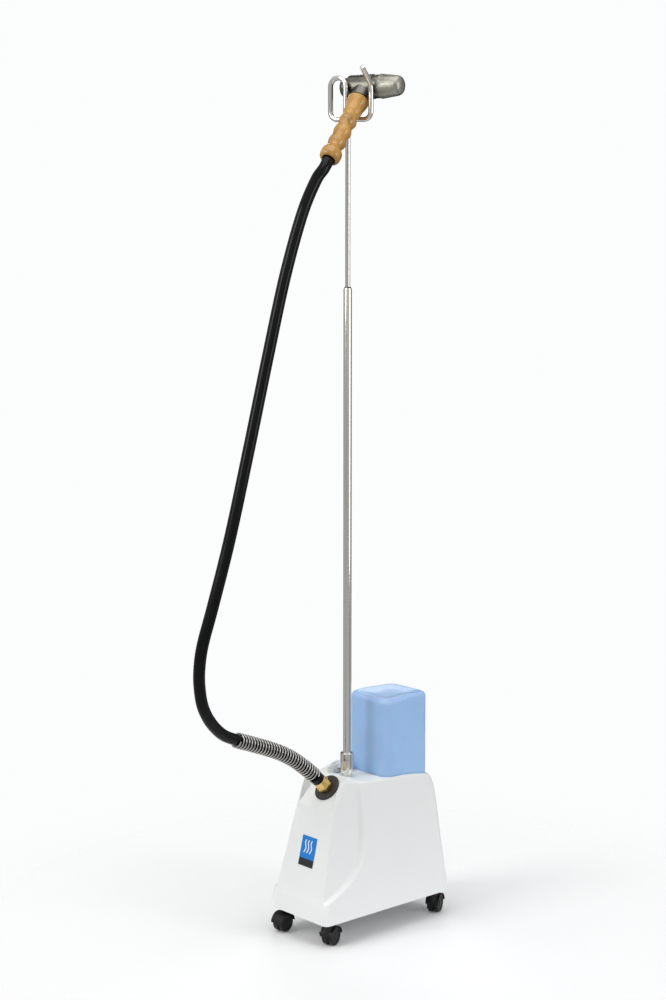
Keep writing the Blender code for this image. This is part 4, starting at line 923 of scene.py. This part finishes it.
def make_head():
    head = handle_point(0) - HEAD_DIR * HANDLE_ALONG
    cap = fillet([(0.0150, -0.0085), (0.0185, -0.0085), (0.0185, -0.0165), (0.0168, -0.0212), (0.0120, -0.0236),
                  (0, -0.0243)], 0.0014)
    inside = [(0, -0.0205), (0.0140, -0.0195), (0.0150, -0.0165), (0.0150, -0.0085)]
    piece("head_cap", lathe([*cap, *inside], head, HEAD_DIR, 72), "cast_aluminium", "handset",
          ("head_end_cap",))
    r, bore = HEAD_RADIUS, 0.0185
    shape = lathe(fillet([(0, 0.0460), (r, 0.0460), (r, -0.0059), (0, -0.0059)], 0.0026), head,
                  HEAD_DIR, 96)
    reach = HANDLE_START - 0.0003
    body = combined(shape, ("UNION", rod(BRANCH_RADIUS, reach, handle_point(reach / 2), HANDLE_DIR, 96)),
                    ("DIFFERENCE", rod(bore, 0.12, head, HEAD_DIR, 72)),
                    ("DIFFERENCE", rod(0.0070, 0.050, handle_point(0.0275), HANDLE_DIR, 32)),
                    bevel=0.0018, segments=4, angle=40)
    piece("head_barrel", body, "cast_aluminium", "handset", ("head_body",))
    collar = fillet([(0.0175, 0.0600), (0.0216, 0.0600), (0.0220, 0.0588), (0.0220, 0.0475), (0.0175, 0.0463),
                     (0.0175, 0.0600)], 0.0008)
    piece("head_neck", lathe(collar, head, HEAD_DIR, 72), "cast_aluminium", "handset", ("head_collar",))
    outside = fillet([(0.0195, 0.0603), (0.0228, 0.0603), (0.0232, 0.0625), (0.0196, 0.0905), (0.0184, 0.0975),
                      (0.0148, 0.1020), (0.0085, 0.1043), (0, 0.1050)], 0.0030, 6)
    inside = [(0, 0.1010), (0.0148, 0.0970), (0.0166, 0.0905), (0.0198, 0.0630), (0.0195, 0.0603)]
    away = -HOOK_FORWARD
    slots = [("DIFFERENCE", block((0.0032, 0.016, 0.03), head + HEAD_DIR * (0.066 + 0.0095 * n) + away * 0.018, away))
             for n in range(4)]
    nozzle = combined(lathe([*outside, *inside], head, HEAD_DIR, 72), *slots)
    piece("nozzle_casting", nozzle, "blasted_aluminium", "handset", ("steam_nozzle",), sharp=35)


def handle_radius(distance):
    return 0.0205 - 0.0037 * smoothstep(0.037, 0.062, distance) + 0.0028 * smoothstep(0.158, 0.172, distance)


def finger_groove(distance):
    """How deep the finger grooves are, from 0 to 1, along the handle."""
    first, last = GRIP
    if not first < distance < last:
        return 0
    return 0.5 - 0.5 * math.cos(2 * math.pi * GROOVES * (distance - first) / (last - first))


def make_handle():
    bore, throat, end = HOSE_RADIUS + 0.0012, 0.0072, HANDLE_END
    outside = []
    for n in range(8):
        a = math.pi / 2 * n / 7
        outside.append((handle_radius(HANDLE_START) - 0.0045 * (1 - math.sin(a)),
                        HANDLE_START + 0.0040 * (1 - math.cos(a))))
    first = HANDLE_START + 0.0045
    for n in range(110):
        distance = first + (end - 0.009 - first) * n / 109
        outside.append((handle_radius(distance), distance))
    last = handle_radius(end)
    for n in range(1, 11):
        a = math.pi / 2 * n / 10
        outside.append((last - 0.0066 * (1 - math.cos(a)), end - 0.009 + 0.009 * math.sin(a)))
    inside = [(bore + 0.0014, end), (bore + 0.0004, end - 0.0006), (bore, end - 0.0020), (bore, end - 0.034),
              (throat, end - 0.036), (throat, HANDLE_START)]
    under = (aimed((0, 0, 0), HANDLE_DIR).inverted() @ (-UP - HOOK_FORWARD * 0.3)).xy
    facing = math.atan2(under.y, under.x)

    def grooves(angle, r, z):
        if r < 0.0150 or not first < z < end - 0.010:
            return 0
        grip = 0.5 + 0.5 * math.cos(angle - facing)
        return -finger_groove(z) * (0.0018 + 0.0020 * grip)

    grip = lathe([*outside, *inside, outside[0]], handle_point(0), HANDLE_DIR, 96, grooves)
    piece("handle_grip", grip, "handle_amber", "handset", ("handle",), sharp=50)


# ---------------------------------------------------------------- casters

def make_caster(number, x, y, heading):
    heading = math.radians(heading)
    top = HOUSING_BOTTOM + 0.004 - 0.0003
    trail = Vector((math.cos(heading), math.sin(heading), 0))
    across = Vector((-math.sin(heading), math.cos(heading), 0))
    axle = Vector((x, y, WHEEL_RADIUS)) + trail * CASTER_TRAIL
    outer = WHEEL_RADIUS + 0.0024
    width = 2 * WHEEL_WIDTH + 0.0095
    shell = rod(outer, width, axle, across, 64)
    room = WHEEL_WIDTH + 0.0014
    steps = [("DIFFERENCE", rod(WHEEL_RADIUS + 0.0007, room * 1.6, axle + across * side * (0.0025 + room * 0.8),
                                across, 64)) for side in (-1, 1)]
    steps.append(("INTERSECT", block((0.06, 0.06, 0.03), axle + UP * (0.016 - WHEEL_RADIUS + 0.019))))
    shell = combined(shell, *steps)
    mesh = bmesh.new()
    mesh.from_mesh(shell)
    low, high = 0.024, top - 0.0035
    boss = rod(0.0090, high - low, (x, y, (high + low) / 2), UP, 40)
    boss_mesh = bmesh.new()
    boss_mesh.from_mesh(combined(boss, ("DIFFERENCE", rod(WHEEL_RADIUS + 0.0007, 0.05, axle, across, 64))))
    rib = rod(WHEEL_RADIUS + 0.0012, 0.0050, axle, across, 64)
    rib_mesh = bmesh.new()
    rib_mesh.from_mesh(combined(rib, ("INTERSECT", block((0.06, 0.06, 0.036), axle + UP * 0.0095))))
    hood = combined(mesh, ("UNION", rib_mesh), ("UNION", boss_mesh),
                    ("DIFFERENCE", rod(0.0024, 0.05, axle, across, 24)),
                    ("DIFFERENCE", rod(0.0044, 0.02, (x, y, top - 0.0035), UP, 24)), bevel=0.0006, angle=35)
    body = f"caster_{number}"
    piece(f"hood_{number}", hood, "black_plastic", body, (f"caster_hood_{number}",), sharp=35)
    far, near, r = 0.0030 + WHEEL_WIDTH, 0.0030, WHEEL_RADIUS
    profile = [(0, far - 0.0004), (0.0058, far - 0.0004), (0.0066, far - 0.0016), (0.0128, far - 0.0020),
               (0.0138, far - 0.0004), (r - 0.0015, far), (r, far - 0.0020), (r, near), (0.0024, near),
               (0.0024, 0.0101), (0, 0.0101)]
    for name, side in (("left", -1), ("right", 1)):
        wheel = lathe(fillet(profile, 0.0007, 3), axle, across * side, 64)
        piece(f"wheel_disc_{name}_{number}", wheel, "black_plastic", f"wheels_{number}",
              (f"wheel_{name}_{number}",))


# ---------------------------------------------------------------- CAD nodes that stay as they are

def finish_nodes():
    """Gives each CAD node the material of its slot, with its faces shaded flat."""
    slots = {part["node"]: part["material_slot"] for part in frame["record"]["subparts"]}
    for name, node in NODES.items():
        node.data.materials.clear()
        node.data.materials.append(MATERIALS[slots[name]])
        for polygon in node.data.polygons:
            polygon.use_smooth = False


finish_nodes()
make_housing()
make_bottle()
make_cap()
make_outlet()
make_hose()
make_pole()
make_hook()
make_head()
make_handle()
for index, (at_x, at_y, turn) in enumerate(CASTER_AT, 1):
    make_caster(index, at_x, at_y, turn)
